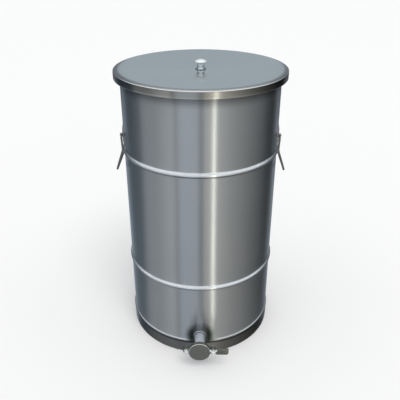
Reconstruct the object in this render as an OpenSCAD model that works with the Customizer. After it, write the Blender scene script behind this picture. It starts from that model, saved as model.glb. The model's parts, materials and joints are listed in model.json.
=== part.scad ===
// Honey settling tank: a free-standing round sheet-steel tank with two swage beads, a curled
// mouth, a lift-off lid with a turned knob, two drop handles and a swinging honey gate low on
// the front. Millimetres, +Z up, the origin on the tank axis at floor level, gate towards -Y.

/* [Tank] */
// Outside diameter of the rolled shell.
body_d = 400; // [390:1:420]
// Height of the curled mouth above the floor.
tank_h = 746.5; // [715:0.5:800]
// Sheet thickness of the shell, the tank floor and the lid.
sheet_t = 1; // [0.8:0.1:1.2]
// Diameter of the outward curl round the mouth.
curl_d = 13; // [11:0.5:14]
// Height of the upper swage bead.
bead_high_z = 544.5; // [535:0.5:548]
// Height of the lower swage bead.
bead_low_z = 221.5; // [180:0.5:260]
// How far a swage bead stands out of the shell.
bead_out = 4; // [3:0.25:4.5]

/* [Base] */
// Height of the seam bead on top of the base ring.
seam_z = 40.5; // [36:0.5:43]
// Section radius of the seam bead.
seam_r = 4; // [3.5:0.25:4.5]
// Thickness of the base ring strip.
base_t = 2; // [1.5:0.1:2.5]
// Width of the foot that the base ring turns in.
foot_w = 10; // [8:0.5:16]
// Height of the tank floor above the ground.
floor_z = 44; // [40:0.5:45]
// Height of the lower edge of the shell inside the base ring.
shell_low_z = 8; // [5:0.5:14]
// Length of the flange that the tank floor turns down.
floor_flange_h = 28; // [20:0.5:30]
// Outside corner radius of the tank floor.
floor_corner_r = 5; // [3:0.5:8]

/* [Lid] */
// How far the lid stands out over the shell.
lid_over = 15.2; // [14.8:0.1:20]
// Height of the lid from its lower edge to its highest ring.
lid_h = 19.5; // [17:0.5:24]
// How far the middle of the lid is dished below that ring.
lid_dish = 6; // [2:0.5:8]
// Radius of the flat middle that carries the knob.
lid_mid_r = 30; // [20:1:60]
// Angle that the edge of the lid top rolls down by, in degrees.
lid_roll_a = 15; // [8:1:18]
// Radius of that roll.
lid_roll_r = 54; // [40:1:56]
// Outside radius of the lid corner.
lid_corner_r = 1.5; // [1.5:0.5:3]
// Height of the folded hem inside the lid edge.
lid_hem_h = 5; // [3:0.5:7]

/* [Knob] */
// Diameter of the knob head.
knob_d = 30; // [27:0.5:36]
// Height of the knob above its gasket.
knob_h = 22.5; // [20:0.5:26]
// Height of the dome on the knob head.
knob_dome_h = 4.6; // [3.5:0.1:5]
// Height of the straight band of the knob head.
knob_band_h = 2.2; // [1.5:0.1:3]
// Diameter of the knob stem at its waist.
knob_stem_d = 17.5; // [15:0.5:19]
// Diameter of the gasket under the knob.
gasket_d = 27; // [24:0.5:34]
// Thickness of that gasket.
gasket_t = 1.2; // [1:0.1:2]
// Diameter of the backing washer under the lid.
knob_washer_d = 26; // [20:0.5:30]
// Thickness of that washer.
knob_washer_t = 1.5; // [1:0.1:2]
// Thread diameter of the knob screw.
knob_screw_d = 5; // [4:0.5:6]
// Length of the screw that runs into the knob.
knob_screw_in = 9; // [7:0.5:10.5]

/* [Handles] */
// Height of the pivot axis of both bails.
bail_z = 587; // [582:0.5:600]
// Diameter of the bail rod.
rod_d = 5; // [4.5:0.1:5.6]
// Distance of each bail leg from the middle of the handle.
leg_y = 56; // [54:0.5:60]
// Straight drop from the pivot to the kink in the legs.
leg_drop = 37.5; // [35:0.5:38]
// Angle of the kink, in degrees.
kink_a = 21; // [20:0.5:26]
// Lean of the hanging legs towards the tank, in degrees.
lean_a = 2.5; // [1:0.25:2.5]
// Length of the legs below the kink, to the corner of the grip.
reach_l = 48; // [40:0.5:58]
// Centre-line radius of the grip corners.
grip_corner_r = 12; // [9:0.5:16]
// Thickness of the handle plate.
plate_t = 1.5; // [1.2:0.1:1.8]
// Width of the handle plate.
plate_w = 108; // [104:1:126]
// Height of the handle plate.
plate_h = 50; // [44:0.5:58]
// Thickness of the two eye lugs.
lug_t = 4; // [3:0.25:5]
// Outside radius of the eye lugs.
lug_r = 4.8; // [4.5:0.1:5.4]

/* [Outlet] */
// Height of the outlet axis.
gate_z = 60; // [59:0.5:66]
// Outside diameter of the outlet neck.
neck_d = 26; // [25:0.5:27]
// Bore of the outlet neck.
neck_bore = 23; // [21:0.5:23.5]
// Distance from the shell to the back of the gate flange.
neck_l = 51; // [40:0.5:60]
// Outside diameter of the weld collar on the shell.
collar_d = 33; // [31:0.5:36]
// How far the weld collar stands off the shell.
collar_h = 4.5; // [3.5:0.25:6]

/* [Gate] */
// Diameter of the gate flange.
flange_d = 52; // [50:0.5:54]
// Thickness of the gate flange.
flange_t = 5; // [4.5:0.25:7]
// Diameter of the round part of the blade.
blade_d = 58; // [56:0.5:58.5]
// Thickness of the round part of the blade.
blade_t = 8; // [7:0.25:8.5]
// Thickness of the ears and the lever tab of the blade.
lever_t = 4.5; // [3.5:0.25:5]
// Distance of the pivot bolt to the left of the outlet axis.
pivot_x = 35.5; // [35.3:0.1:38]
// Distance of the clamp stud to the right of the outlet axis.
stud_x = 36.5; // [36.3:0.1:38]
// Height of both above the outlet axis.
bolt_rise = 2; // [0:0.25:5.5]
// Reach of the lever tab from the outlet axis.
tab_reach = 77; // [66:0.5:90]
// Upper edge of the lever tab above the outlet axis.
tab_up = 8.5; // [7:0.25:10]
// Lower edge of the lever tab below the outlet axis.
tab_down = 11; // [8:0.25:12]
// Radius of the ears.
ear_r = 8.5; // [8:0.25:9]
// Thread diameter of the pivot bolt and of the clamp stud.
bolt_d = 6; // [5:0.5:6]
// Width across the flats of the bolt heads and the nut.
hex_af = 10; // [9:0.5:10.5]
// Reach of the wings of the hand nut.
wing_reach = 13.5; // [10:0.5:14]

/* [Hidden] */
// Play of a running fit, on the radius.
run_gap = 0.06;
// Play between two pieces that are fixed to each other, on the radius.
seat_gap = 0.05;
// Clearance between pieces that move past each other.
move_gap = 0.3;
// Overrun of a cutting shape.
over = 2;
body_r = body_d/2;
wall_r = body_r - sheet_t;

// Swage bead: a crown arc between two fillet arcs of the opposite bend.
crown_share = 1.5;
crown_r = bead_out*crown_share;
fillet_r = bead_out;
crown_in = crown_r - bead_out;
bead_half = sqrt(pow(crown_r + fillet_r, 2) - pow(crown_in + fillet_r, 2));
bead_a = atan2(bead_half, crown_in + fillet_r);

// Curl: a tube of sheet rolled outwards and down.
curl_r = curl_d/2;
curl_end_a = 138;
curl_c = [wall_r + curl_r, tank_h - curl_r];

// Base ring.
base_in = body_r + seat_gap;
base_r = body_r + base_t;
seam_c = body_r - seam_r/4;

// Lid.
lid_r = body_r + lid_over;
lid_flat_r = lid_r - lid_corner_r - (lid_roll_r - lid_corner_r)*sin(lid_roll_a);
seat_out = max(0, curl_c[0] - lid_flat_r);
lid_sag = lid_roll_r - sqrt(pow(lid_roll_r, 2) - pow(seat_out, 2));
lid_low_face = tank_h + move_gap + lid_sag;
lid_top = lid_low_face + sheet_t;
lid_edge_z = lid_top - lid_h;
lid_mid_z = lid_top - lid_dish;
lid_mid_low = lid_mid_z - sheet_t;
lid_slope_a = atan2(lid_dish, lid_flat_r - lid_mid_r);
roll_c = [lid_flat_r, lid_top - lid_roll_r];
corner_c = roll_c + (lid_roll_r - lid_corner_r)*[sin(lid_roll_a), cos(lid_roll_a)];

// Knob and its screw.
knob_r = knob_d/2;
stem_r = knob_stem_d/2;
knob_z = lid_mid_z + gasket_t;
knob_under_z = knob_z + knob_h - knob_dome_h - knob_band_h;
knob_edge_h = 1;
stem_flare = 1;
stem_waist_share = 0.45;
screw_r = knob_screw_d/2;
screw_hole_r = screw_r + 2*seat_gap;
screw_head_shares = [0.95, 0.7];
slot_shares = [0.24, 0.4];

// Handles.
rod_r = rod_d/2;
eye_r = rod_r + run_gap;
lug_out_y = leg_y - 8;
lug_in_y = lug_out_y - lug_t;
pin_in_y = lug_in_y - 1;
bail_x = sqrt(pow(body_r + plate_t, 2) - pow(pin_in_y, 2)) + rod_r + move_gap;
eye_l = lug_out_y - pin_in_y + 2*over;
eye_mid_y = (lug_out_y + pin_in_y)/2;
elbow_r = 6;
kink_r = rod_r + 2*seat_gap;
plate_cut = 6;
plate_shift = -7;

// Outlet and gate, measured outwards from the tank axis.
neck_r = neck_d/2;
bore_r = neck_bore/2;
collar_r = collar_d/2;
neck_in_z = wall_r - 3;
flange_back = body_r + neck_l;
flange_face = flange_back + flange_t;
flange_r = flange_d/2;
blade_back = flange_face + move_gap;
blade_r = blade_d/2;
blade_edge = 1;
lever_face = blade_back + lever_t;
tab_corner_r = 7;
tab_round_r = 3;
bolt_r = bolt_d/2;
bolt_hole_r = bolt_r + run_gap;
stud_hole_r = bolt_r + seat_gap;
bolt_head_h = 4;
hex_r = hex_af/2/cos(30);
washer_r = 6;
washer_t = 1.2;
nut_h = 5;
bolt_end = 1;
seal_in = neck_r + 3;
seal_out = seal_in + 4;
seal_depth = 2.5;
notch_half = bolt_r + move_gap;
notch_end_r = notch_half + seat_gap*3;
swing_r = pivot_x + stud_x;
pivot_face = lever_face + move_gap;
clamp_face = lever_face + move_gap;
hub_r = 5.5;
wing_low = blade_back + blade_t + move_gap*3;
wing_h = 4.5;
wing_w = 3.8;
wing_tip_r = 2.3;
hub_top = wing_low + wing_h;
stud_top = hub_top + 1.6;

// Points of an arc round c, from angle a0 to a1 in n steps.
function arc(c, r, a0, a1, n) =
    [for (i = [0:n]) c + r*[cos(a0 + (a1 - a0)*i/n), sin(a0 + (a1 - a0)*i/n)]];

// The same list turned round.
function back(p) = [for (i = [len(p) - 1:-1:0]) p[i]];

// One swage bead on the face that lies `deep` inside the outer face, from below upwards.
function bead(z, deep) = concat(
    arc([body_r + fillet_r, z - bead_half], fillet_r + deep, 180, 180 - bead_a, 4),
    arc([body_r - crown_in, z], crown_r - deep, 1 - bead_a, bead_a - 1, 8),
    arc([body_r + fillet_r, z + bead_half], fillet_r + deep, 180 + bead_a, 180, 4));

// Frame of the outlet: X across, Y up, Z outwards from the tank axis.
module outlet_frame() {
    translate([0, 0, gate_z])
        rotate([90, 0, 0])
            children();
}

// A plain ring of the shell sheet between two heights.
module course(low, high) {
    rotate_extrude($fn = 128)
        translate([wall_r, low])
            square([sheet_t, high - low]);
}

// One swage bead of the shell sheet round the height z.
module bead_ring(z) {
    rotate_extrude($fn = 128)
        polygon(concat(bead(z, 0), back(bead(z, sheet_t))));
}

// The shell is one rolled sheet, drawn as three courses, two beads and the curl at the mouth.
module shell_lower_course() {
    color([0.62, 0.63, 0.64])
        difference() {
            course(shell_low_z, bead_low_z - bead_half);
            outlet_frame()
                cylinder(r = neck_r + seat_gap, h = body_r + over, $fn = 48);
        }
}

module shell_lower_bead() {
    color([0.66, 0.67, 0.68])
        bead_ring(bead_low_z);
}

module shell_middle_course() {
    color([0.62, 0.63, 0.64])
        course(bead_low_z + bead_half, bead_high_z - bead_half);
}

module shell_upper_bead() {
    color([0.66, 0.67, 0.68])
        bead_ring(bead_high_z);
}

module shell_upper_course() {
    color([0.62, 0.63, 0.64])
        course(bead_high_z + bead_half, curl_c[1]);
}

module shell_mouth_curl() {
    color([0.66, 0.67, 0.68])
        rotate_extrude($fn = 128)
            polygon(concat(
                arc(curl_c, curl_r - sheet_t, 180, -curl_end_a, 20),
                arc(curl_c, curl_r, -curl_end_a, 180, 20)));
}

module tank_floor() {
    r = wall_r - seat_gap;
    low = floor_z - floor_flange_h;
    c = [r - floor_corner_r, floor_z - floor_corner_r];
    outline = concat(
        [[0, floor_z]],
        arc(c, floor_corner_r, 90, 0, 5),
        [[r, low], [r - sheet_t, low]],
        arc(c, floor_corner_r - sheet_t, 0, 90, 5),
        [[0, floor_z - sheet_t]]);
    color([0.6, 0.61, 0.62])
        rotate_extrude($fn = 128)
            polygon(outline);
}

module base_ring() {
    low_a = acos((base_r - seam_c)/seam_r);
    high_a = acos((base_in - seam_c)/seam_r);
    outline = concat(
        [[base_r - foot_w, 0], [base_r, 0]],
        arc([seam_c, seam_z], seam_r, -low_a, high_a, 9),
        [[base_in, base_t], [base_r - foot_w, base_t]]);
    color([0.5, 0.51, 0.52])
        rotate_extrude($fn = 128)
            polygon(outline);
}

module lid_pan() {
    side_r = lid_r - sheet_t;
    hem_r = side_r - sheet_t;
    top_a = 90 - lid_roll_a;
    outline = concat(
        [[screw_hole_r, lid_mid_z], [lid_mid_r, lid_mid_z]],
        arc(roll_c, lid_roll_r, 90 + lid_slope_a, top_a, 7),
        arc(corner_c, lid_corner_r, top_a - 6, 0, 6),
        [[lid_r, lid_edge_z], [hem_r, lid_edge_z]],
        [[hem_r, lid_edge_z + lid_hem_h], [side_r, lid_edge_z + lid_hem_h]],
        arc(corner_c, lid_corner_r - sheet_t, 0, top_a - 6, 6),
        arc(roll_c, lid_roll_r - sheet_t, top_a, 90 + lid_slope_a, 7),
        [[lid_mid_r, lid_mid_low], [screw_hole_r, lid_mid_low]]);
    color([0.66, 0.68, 0.7])
        rotate_extrude($fn = 128)
            polygon(outline);
}

module knob_gasket() {
    color([0.2, 0.2, 0.21])
        translate([0, 0, lid_mid_z])
            difference() {
                cylinder(r = gasket_d/2, h = gasket_t, $fn = 64);
                translate([0, 0, -over])
                    cylinder(r = screw_hole_r, h = gasket_t + 2*over, $fn = 32);
            }
}

module lid_knob() {
    band_low = knob_under_z + knob_edge_h;
    band_top = knob_z + knob_h - knob_dome_h;
    dome_r = (pow(knob_r, 2) + pow(knob_dome_h, 2))/(2*knob_dome_h);
    dome_a = asin(knob_r/dome_r);
    waist_z = knob_z + (knob_under_z - knob_z)*stem_waist_share;
    deep = knob_z + knob_screw_in + over/2;
    outline = concat(
        [[screw_hole_r, knob_z], [stem_r + stem_flare, knob_z]],
        [[stem_r, waist_z], [stem_r + stem_flare, knob_under_z]],
        [[knob_r - knob_edge_h, knob_under_z], [knob_r, band_low]],
        arc([0, band_top + knob_dome_h - dome_r], dome_r, 90 - dome_a, 90, 7),
        [[0, deep], [screw_hole_r, deep]]);
    color([0.78, 0.79, 0.8])
        rotate_extrude($fn = 64)
            polygon(outline);
}

module knob_washer() {
    color([0.6, 0.6, 0.6])
        translate([0, 0, lid_mid_low - knob_washer_t])
            difference() {
                cylinder(r = knob_washer_d/2, h = knob_washer_t, $fn = 64);
                translate([0, 0, -over])
                    cylinder(r = screw_hole_r, h = knob_washer_t + 2*over, $fn = 32);
            }
}

module knob_screw() {
    head_z = lid_mid_low - knob_washer_t;
    head_r = knob_screw_d*screw_head_shares[0];
    head_h = knob_screw_d*screw_head_shares[1];
    slot_w = knob_screw_d*slot_shares[0];
    slot_h = head_h*slot_shares[1];
    color([0.55, 0.55, 0.56])
        difference() {
            union() {
                translate([0, 0, head_z - head_h])
                    cylinder(r = head_r, h = head_h, $fn = 32);
                translate([0, 0, head_z - head_h/2])
                    cylinder(r = screw_r, h = head_h/2 + knob_z + knob_screw_in - head_z, $fn = 32);
            }
            translate([-head_r - over, -slot_w/2, head_z - head_h - over])
                cube([2*head_r + 2*over, slot_w, slot_h + over]);
        }
}

// Handle plate on the +X side: a curved plate with two eye lugs.
module handle_plate_shape() {
    low = bail_z - plate_h/2 + plate_shift;
    half = plate_w/2;
    outer_r = body_r + plate_t;
    difference() {
        union() {
            intersection() {
                translate([0, 0, low])
                    cylinder(r = outer_r, h = plate_h, $fn = 128);
                rotate([90, 0, 90])
                    linear_extrude(height = outer_r + over)
                        polygon([
                            [plate_cut - half, low],
                            [half - plate_cut, low],
                            [half, low + plate_cut],
                            [half, low + plate_h - plate_cut],
                            [half - plate_cut, low + plate_h],
                            [plate_cut - half, low + plate_h],
                            [-half, low + plate_h - plate_cut],
                            [-half, low + plate_cut]]);
            }
            for (side = [-1, 1])
                translate([bail_x, side*(lug_in_y + lug_t/2) + lug_t/2, bail_z])
                    rotate([90, 0, 0])
                        linear_extrude(height = lug_t)
                            union() {
                                circle(r = lug_r, $fn = 48);
                                translate([-lug_r - over, seat_gap - lug_r])
                                    square([lug_r + over, 2*lug_r - 2*seat_gap]);
                            }
        }
        translate([0, 0, low - over])
            cylinder(r = body_r + seat_gap, h = plate_h + 2*over, $fn = 128);
        for (side = [-1, 1])
            translate([bail_x, side*eye_mid_y + eye_l/2, bail_z])
                rotate([90, 0, 0])
                    cylinder(r = eye_r, h = eye_l, $fn = 48);
    }
}

// Half of a bail in its own frame: pivot at the origin, X away from the tank, this leg at +Y.
module bail_half() {
    translate([0, leg_y - elbow_r, 0])
        rotate([90, 0, 0])
            cylinder(r = rod_r, h = leg_y - elbow_r - pin_in_y, $fn = 32);
    translate([0, leg_y - elbow_r, -elbow_r])
        rotate([90, 0, 90])
            rotate_extrude(angle = 90, $fn = 32)
                translate([elbow_r, 0])
                    circle(r = rod_r, $fn = 32);
    translate([0, leg_y, -leg_drop])
        cylinder(r = rod_r, h = leg_drop - elbow_r, $fn = 32);
    translate([0, leg_y, -leg_drop])
        sphere(r = kink_r, $fn = 32);
    translate([0, 0, -leg_drop])
        rotate([0, -kink_a, 0]) {
            translate([0, leg_y, -reach_l])
                cylinder(r = rod_r, h = reach_l, $fn = 32);
            translate([0, leg_y - grip_corner_r, -reach_l])
                rotate([90, 0, 90])
                    rotate([0, 0, -90])
                        rotate_extrude(angle = 90, $fn = 48)
                            translate([grip_corner_r, 0])
                                circle(r = rod_r, $fn = 32);
            translate([0, leg_y - grip_corner_r, -reach_l - grip_corner_r])
                rotate([90, 0, 0])
                    cylinder(r = rod_r, h = leg_y - grip_corner_r, $fn = 32);
        }
}

module bail_shape() {
    translate([bail_x, 0, bail_z])
        rotate([0, lean_a, 0])
            union() {
                bail_half();
                mirror([0, 1, 0])
                    bail_half();
            }
}

module left_handle_plate() {
    color([0.6, 0.61, 0.62])
        mirror([1, 0, 0])
            handle_plate_shape();
}

module right_handle_plate() {
    color([0.6, 0.61, 0.62])
        handle_plate_shape();
}

module left_bail() {
    color([0.55, 0.56, 0.57])
        mirror([1, 0, 0])
            bail_shape();
}

module right_bail() {
    color([0.55, 0.56, 0.57])
        bail_shape();
}

module outlet_neck() {
    color([0.7, 0.71, 0.73])
        outlet_frame()
            translate([0, 0, neck_in_z])
                difference() {
                    cylinder(r = neck_r, h = flange_face - neck_in_z, $fn = 64);
                    translate([0, 0, -over])
                        cylinder(r = bore_r, h = flange_face - neck_in_z + 2*over, $fn = 64);
                }
}

module neck_collar() {
    color([0.64, 0.65, 0.66])
        difference() {
            outlet_frame()
                translate([0, 0, wall_r - collar_h])
                    difference() {
                        cylinder(r = collar_r, h = 2*collar_h + sheet_t, $fn = 64);
                        translate([0, 0, -over])
                            cylinder(r = neck_r + seat_gap, h = 3*collar_h + 2*over, $fn = 64);
                    }
            cylinder(r = body_r + seat_gap, h = gate_z + collar_d, $fn = 128);
            cylinder(r = body_r + collar_h + over, h = seam_z + seam_r + seat_gap, $fn = 128);
        }
}

module gate_body() {
    web = 2*ear_r - 1;
    color([0.58, 0.59, 0.6])
        outlet_frame()
            translate([0, 0, flange_back])
                difference() {
                    linear_extrude(height = flange_t)
                        union() {
                            circle(r = flange_r, $fn = 96);
                            translate([-pivot_x, bolt_rise])
                                circle(r = ear_r, $fn = 48);
                            translate([stud_x, bolt_rise])
                                circle(r = ear_r, $fn = 48);
                            translate([-pivot_x, bolt_rise - web/2])
                                square([pivot_x + stud_x, web]);
                        }
                    translate([0, 0, -over])
                        cylinder(r = neck_r + seat_gap, h = flange_t + 2*over, $fn = 64);
                    translate([0, 0, flange_t - seal_depth])
                        difference() {
                            cylinder(r = seal_out, h = seal_depth + over, $fn = 64);
                            translate([0, 0, -over])
                                cylinder(r = seal_in, h = seal_depth + 3*over, $fn = 64);
                        }
                    translate([-pivot_x, bolt_rise, -over])
                        cylinder(r = stud_hole_r, h = flange_t + 2*over, $fn = 32);
                    translate([stud_x, bolt_rise, -over])
                        cylinder(r = stud_hole_r, h = flange_t + 2*over, $fn = 32);
                }
}

module gate_seal() {
    color([0.85, 0.85, 0.82])
        outlet_frame()
            translate([0, 0, flange_face - seal_depth])
                difference() {
                    cylinder(r = seal_out - seat_gap, h = seal_depth, $fn = 64);
                    translate([0, 0, -over])
                        cylinder(r = seal_in + seat_gap, h = seal_depth + 2*over, $fn = 64);
                }
}

module gate_blade() {
    web = 2*ear_r - 1;
    color([0.52, 0.53, 0.53])
        outlet_frame()
            translate([0, 0, blade_back])
                difference() {
                    union() {
                        rotate_extrude($fn = 96)
                            polygon([
                                [0, 0],
                                [blade_r, 0],
                                [blade_r, blade_t - blade_edge],
                                [blade_r - blade_edge, blade_t],
                                [0, blade_t]]);
                        linear_extrude(height = lever_t)
                            union() {
                                translate([-pivot_x, bolt_rise])
                                    circle(r = ear_r, $fn = 48);
                                translate([stud_x, bolt_rise])
                                    circle(r = ear_r, $fn = 48);
                                translate([-pivot_x, bolt_rise - web/2])
                                    square([pivot_x, web]);
                                polygon(concat(
                                    [[0, tab_up], [0, -tab_down]],
                                    arc([tab_reach - tab_corner_r, tab_corner_r - tab_down],
                                        tab_corner_r, -90, 0, 6),
                                    arc([tab_reach - tab_round_r, tab_up - tab_round_r],
                                        tab_round_r, 0, 90, 4)));
                            }
                    }
                    translate([-pivot_x, bolt_rise, -over])
                        cylinder(r = bolt_hole_r, h = blade_t + 2*over, $fn = 32);
                    translate([0, 0, -over])
                        linear_extrude(height = blade_t + 2*over)
                            union() {
                                translate([stud_x, bolt_rise])
                                    circle(r = notch_end_r, $fn = 32);
                                intersection() {
                                    translate([-pivot_x, bolt_rise])
                                        difference() {
                                            circle(r = swing_r + notch_half, $fn = 128);
                                            circle(r = swing_r - notch_half, $fn = 128);
                                        }
                                    translate([0, bolt_rise - tab_down - web])
                                        square([tab_reach, tab_down + web]);
                                }
                            }
                }
}

// A bolt with its hex head behind the gate flange, up to the height `top`.
module bolt_shape(x, top) {
    translate([x, bolt_rise, flange_back - bolt_head_h])
        union() {
            cylinder(r = hex_r, h = bolt_head_h, $fn = 6);
            cylinder(r = bolt_r, h = top - flange_back + bolt_head_h, $fn = 32);
        }
}

// A flat washer that starts at the height `low`.
module washer_shape(x, low) {
    translate([x, bolt_rise, low])
        difference() {
            cylinder(r = washer_r, h = washer_t, $fn = 48);
            translate([0, 0, -over])
                cylinder(r = bolt_hole_r, h = washer_t + 2*over, $fn = 32);
        }
}

module pivot_bolt() {
    color([0.7, 0.7, 0.7])
        outlet_frame()
            bolt_shape(-pivot_x, pivot_face + washer_t + nut_h + bolt_end);
}

module pivot_washer() {
    color([0.66, 0.66, 0.66])
        outlet_frame()
            washer_shape(-pivot_x, pivot_face);
}

module pivot_nut() {
    color([0.72, 0.72, 0.72])
        outlet_frame()
            translate([-pivot_x, bolt_rise, pivot_face + washer_t])
                difference() {
                    cylinder(r = hex_r, h = nut_h, $fn = 6);
                    translate([0, 0, -over])
                        cylinder(r = stud_hole_r, h = nut_h + 2*over, $fn = 32);
                }
}

module clamp_stud() {
    color([0.7, 0.7, 0.7])
        outlet_frame()
            bolt_shape(stud_x, stud_top);
}

module clamp_washer() {
    color([0.66, 0.66, 0.66])
        outlet_frame()
            washer_shape(stud_x, clamp_face);
}

module hand_nut() {
    low = clamp_face + washer_t;
    color([0.78, 0.78, 0.78])
        outlet_frame()
            translate([stud_x, bolt_rise, 0])
                difference() {
                    union() {
                        translate([0, 0, low])
                            cylinder(r = hub_r, h = hub_top - low, $fn = 48);
                        translate([0, 0, wing_low])
                            linear_extrude(height = wing_h)
                                for (a = [45, 135, 225, 315])
                                    rotate(a)
                                        union() {
                                            translate([0, -wing_w/2])
                                                square([wing_reach - wing_tip_r, wing_w]);
                                            translate([wing_reach - wing_tip_r, 0])
                                                circle(r = wing_tip_r, $fn = 32);
                                        }
                    }
                    translate([0, 0, low - over])
                        cylinder(r = bolt_hole_r, h = hub_top - low + 2*over, $fn = 32);
                }
}

shell_lower_course();
shell_lower_bead();
shell_middle_course();
shell_upper_bead();
shell_upper_course();
shell_mouth_curl();
tank_floor();
base_ring();
lid_pan();
knob_gasket();
lid_knob();
knob_washer();
knob_screw();
left_handle_plate();
right_handle_plate();
left_bail();
right_bail();
outlet_neck();
neck_collar();
gate_body();
gate_seal();
gate_blade();
pivot_bolt();
pivot_washer();
pivot_nut();
clamp_stud();
clamp_washer();
hand_nut();
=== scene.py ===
"""Dresses the honey settling tank: steel sheet, rods, gate and fasteners, studio and camera."""

import json
import logging
import math
from collections.abc import Callable, Sequence
from dataclasses import dataclass
from enum import Enum
from functools import cache, reduce
from itertools import product

import bmesh
import bpy
import numpy as np
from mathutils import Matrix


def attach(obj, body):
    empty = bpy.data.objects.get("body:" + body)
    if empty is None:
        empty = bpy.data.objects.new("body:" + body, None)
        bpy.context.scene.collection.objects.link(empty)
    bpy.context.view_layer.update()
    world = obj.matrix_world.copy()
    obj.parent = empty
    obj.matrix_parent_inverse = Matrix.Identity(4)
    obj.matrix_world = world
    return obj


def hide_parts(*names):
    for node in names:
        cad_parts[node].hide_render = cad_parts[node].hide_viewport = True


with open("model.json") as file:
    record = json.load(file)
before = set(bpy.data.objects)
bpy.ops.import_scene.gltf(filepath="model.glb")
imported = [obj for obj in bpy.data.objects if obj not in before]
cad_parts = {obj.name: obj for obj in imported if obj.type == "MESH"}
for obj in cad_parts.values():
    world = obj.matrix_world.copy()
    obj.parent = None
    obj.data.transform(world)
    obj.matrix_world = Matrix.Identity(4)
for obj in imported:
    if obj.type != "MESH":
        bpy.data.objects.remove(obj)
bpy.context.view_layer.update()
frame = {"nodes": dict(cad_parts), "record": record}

LOG = logging.getLogger("honey_tank")
MM = 0.001
OUTLET_Z = 60.0
MERGE_M = 2e-6
SLIVER_M = 1e-7

Pair = tuple[float, float]
Triple = tuple[float, float, float]
Colour = Triple
Points = np.ndarray
Socket = bpy.types.NodeSocket
Value = Socket | float | tuple[float, ...]


# Curves and surfaces


def columns(*parts: float | Points) -> Points:
    """Puts numbers and rows of numbers side by side, one column each; a number fills its column."""
    return np.column_stack(np.broadcast_arrays(*parts))


def arc(centre: Pair, radius: float, start: float, end: float, steps: int) -> Points:
    """Points on a circle: centre plus radius times cosine and sine of an angle from start to end.

    Args:
        centre: Middle of the circle, in mm.
        radius: Radius, in mm.
        start: First angle, in degrees.
        end: Last angle, in degrees.
        steps: Number of equal steps.

    Returns:
        An array of steps + 1 points in the plane.
    """
    turn = np.radians(np.linspace(start, end, steps + 1))
    return columns(centre[0] + radius * np.cos(turn), centre[1] + radius * np.sin(turn))


def chain(*runs: Points | Sequence) -> Points:
    """Joins points and runs of points end to end into one array."""
    return np.vstack([np.atleast_2d(np.asarray(run, dtype=float)) for run in runs])


def wall(radius: float, heights: float | Sequence[float] | Points) -> Points:
    """Points straight above each other: one radius, and each of the heights."""
    return columns(radius, np.atleast_1d(heights))


def full_turn(steps: int) -> Points:
    """Equal angles once round, in radians, without the closing one."""
    return np.linspace(0.0, 2.0 * np.pi, steps, endpoint=False)


def swept(radius: Points, height: Points, angles: Points) -> Points:
    """Surface round the third axis, whose radius and height may change with the angle.

    A point is its radius times cosine and sine of its row's angle, and its height.

    Args:
        radius: Array (angles, n), or (1, n) where it is the same all round.
        height: The same for the heights.
        angles: Angle of each row, in radians.

    Returns:
        A grid (angles, n, 3).
    """
    turn = angles[:, None]
    return np.stack(np.broadcast_arrays(radius * np.cos(turn), radius * np.sin(turn), height), axis=-1)


def turned(profile: Points, angles: Points) -> Points:
    """Surface of revolution: radius and height, counter-clockwise round the material, at each angle."""
    return swept(profile[None, :, 0], profile[None, :, 1], angles)


def tube(path: Points, radii: Points, sides: int, aside: Triple) -> Points:
    """A circle carried along a path.

    The tangent is the path's difference quotient. The first normal is the vector `aside` less its part
    along the tangent, the second is tangent cross first, and a ring is the path point plus its radius
    times cosine of the first and sine of the second.

    Args:
        path: Array (n, 3) of centres.
        radii: Radius at each centre.
        sides: Number of points round a ring.
        aside: A direction that the path never takes.

    Returns:
        A grid (sides, n, 3), round first and along second.
    """
    tangent = np.gradient(path, axis=0)
    tangent /= np.linalg.norm(tangent, axis=1, keepdims=True)
    first = np.array(aside) - tangent * (tangent @ np.array(aside))[:, None]
    first /= np.linalg.norm(first, axis=1, keepdims=True)
    second = np.cross(tangent, first)
    turn = full_turn(sides)[:, None, None]
    ring = np.cos(turn) * first[None] + np.sin(turn) * second[None]
    return path[None] + radii[None, :, None] * ring


def at_outlet(points: Points) -> Points:
    """Takes outlet coordinates (across, up, outwards) to the tank's: X, outwards as -Y, and Z."""
    return np.stack((points[..., 0], -points[..., 2], points[..., 1] + OUTLET_Z), axis=-1)


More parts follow.
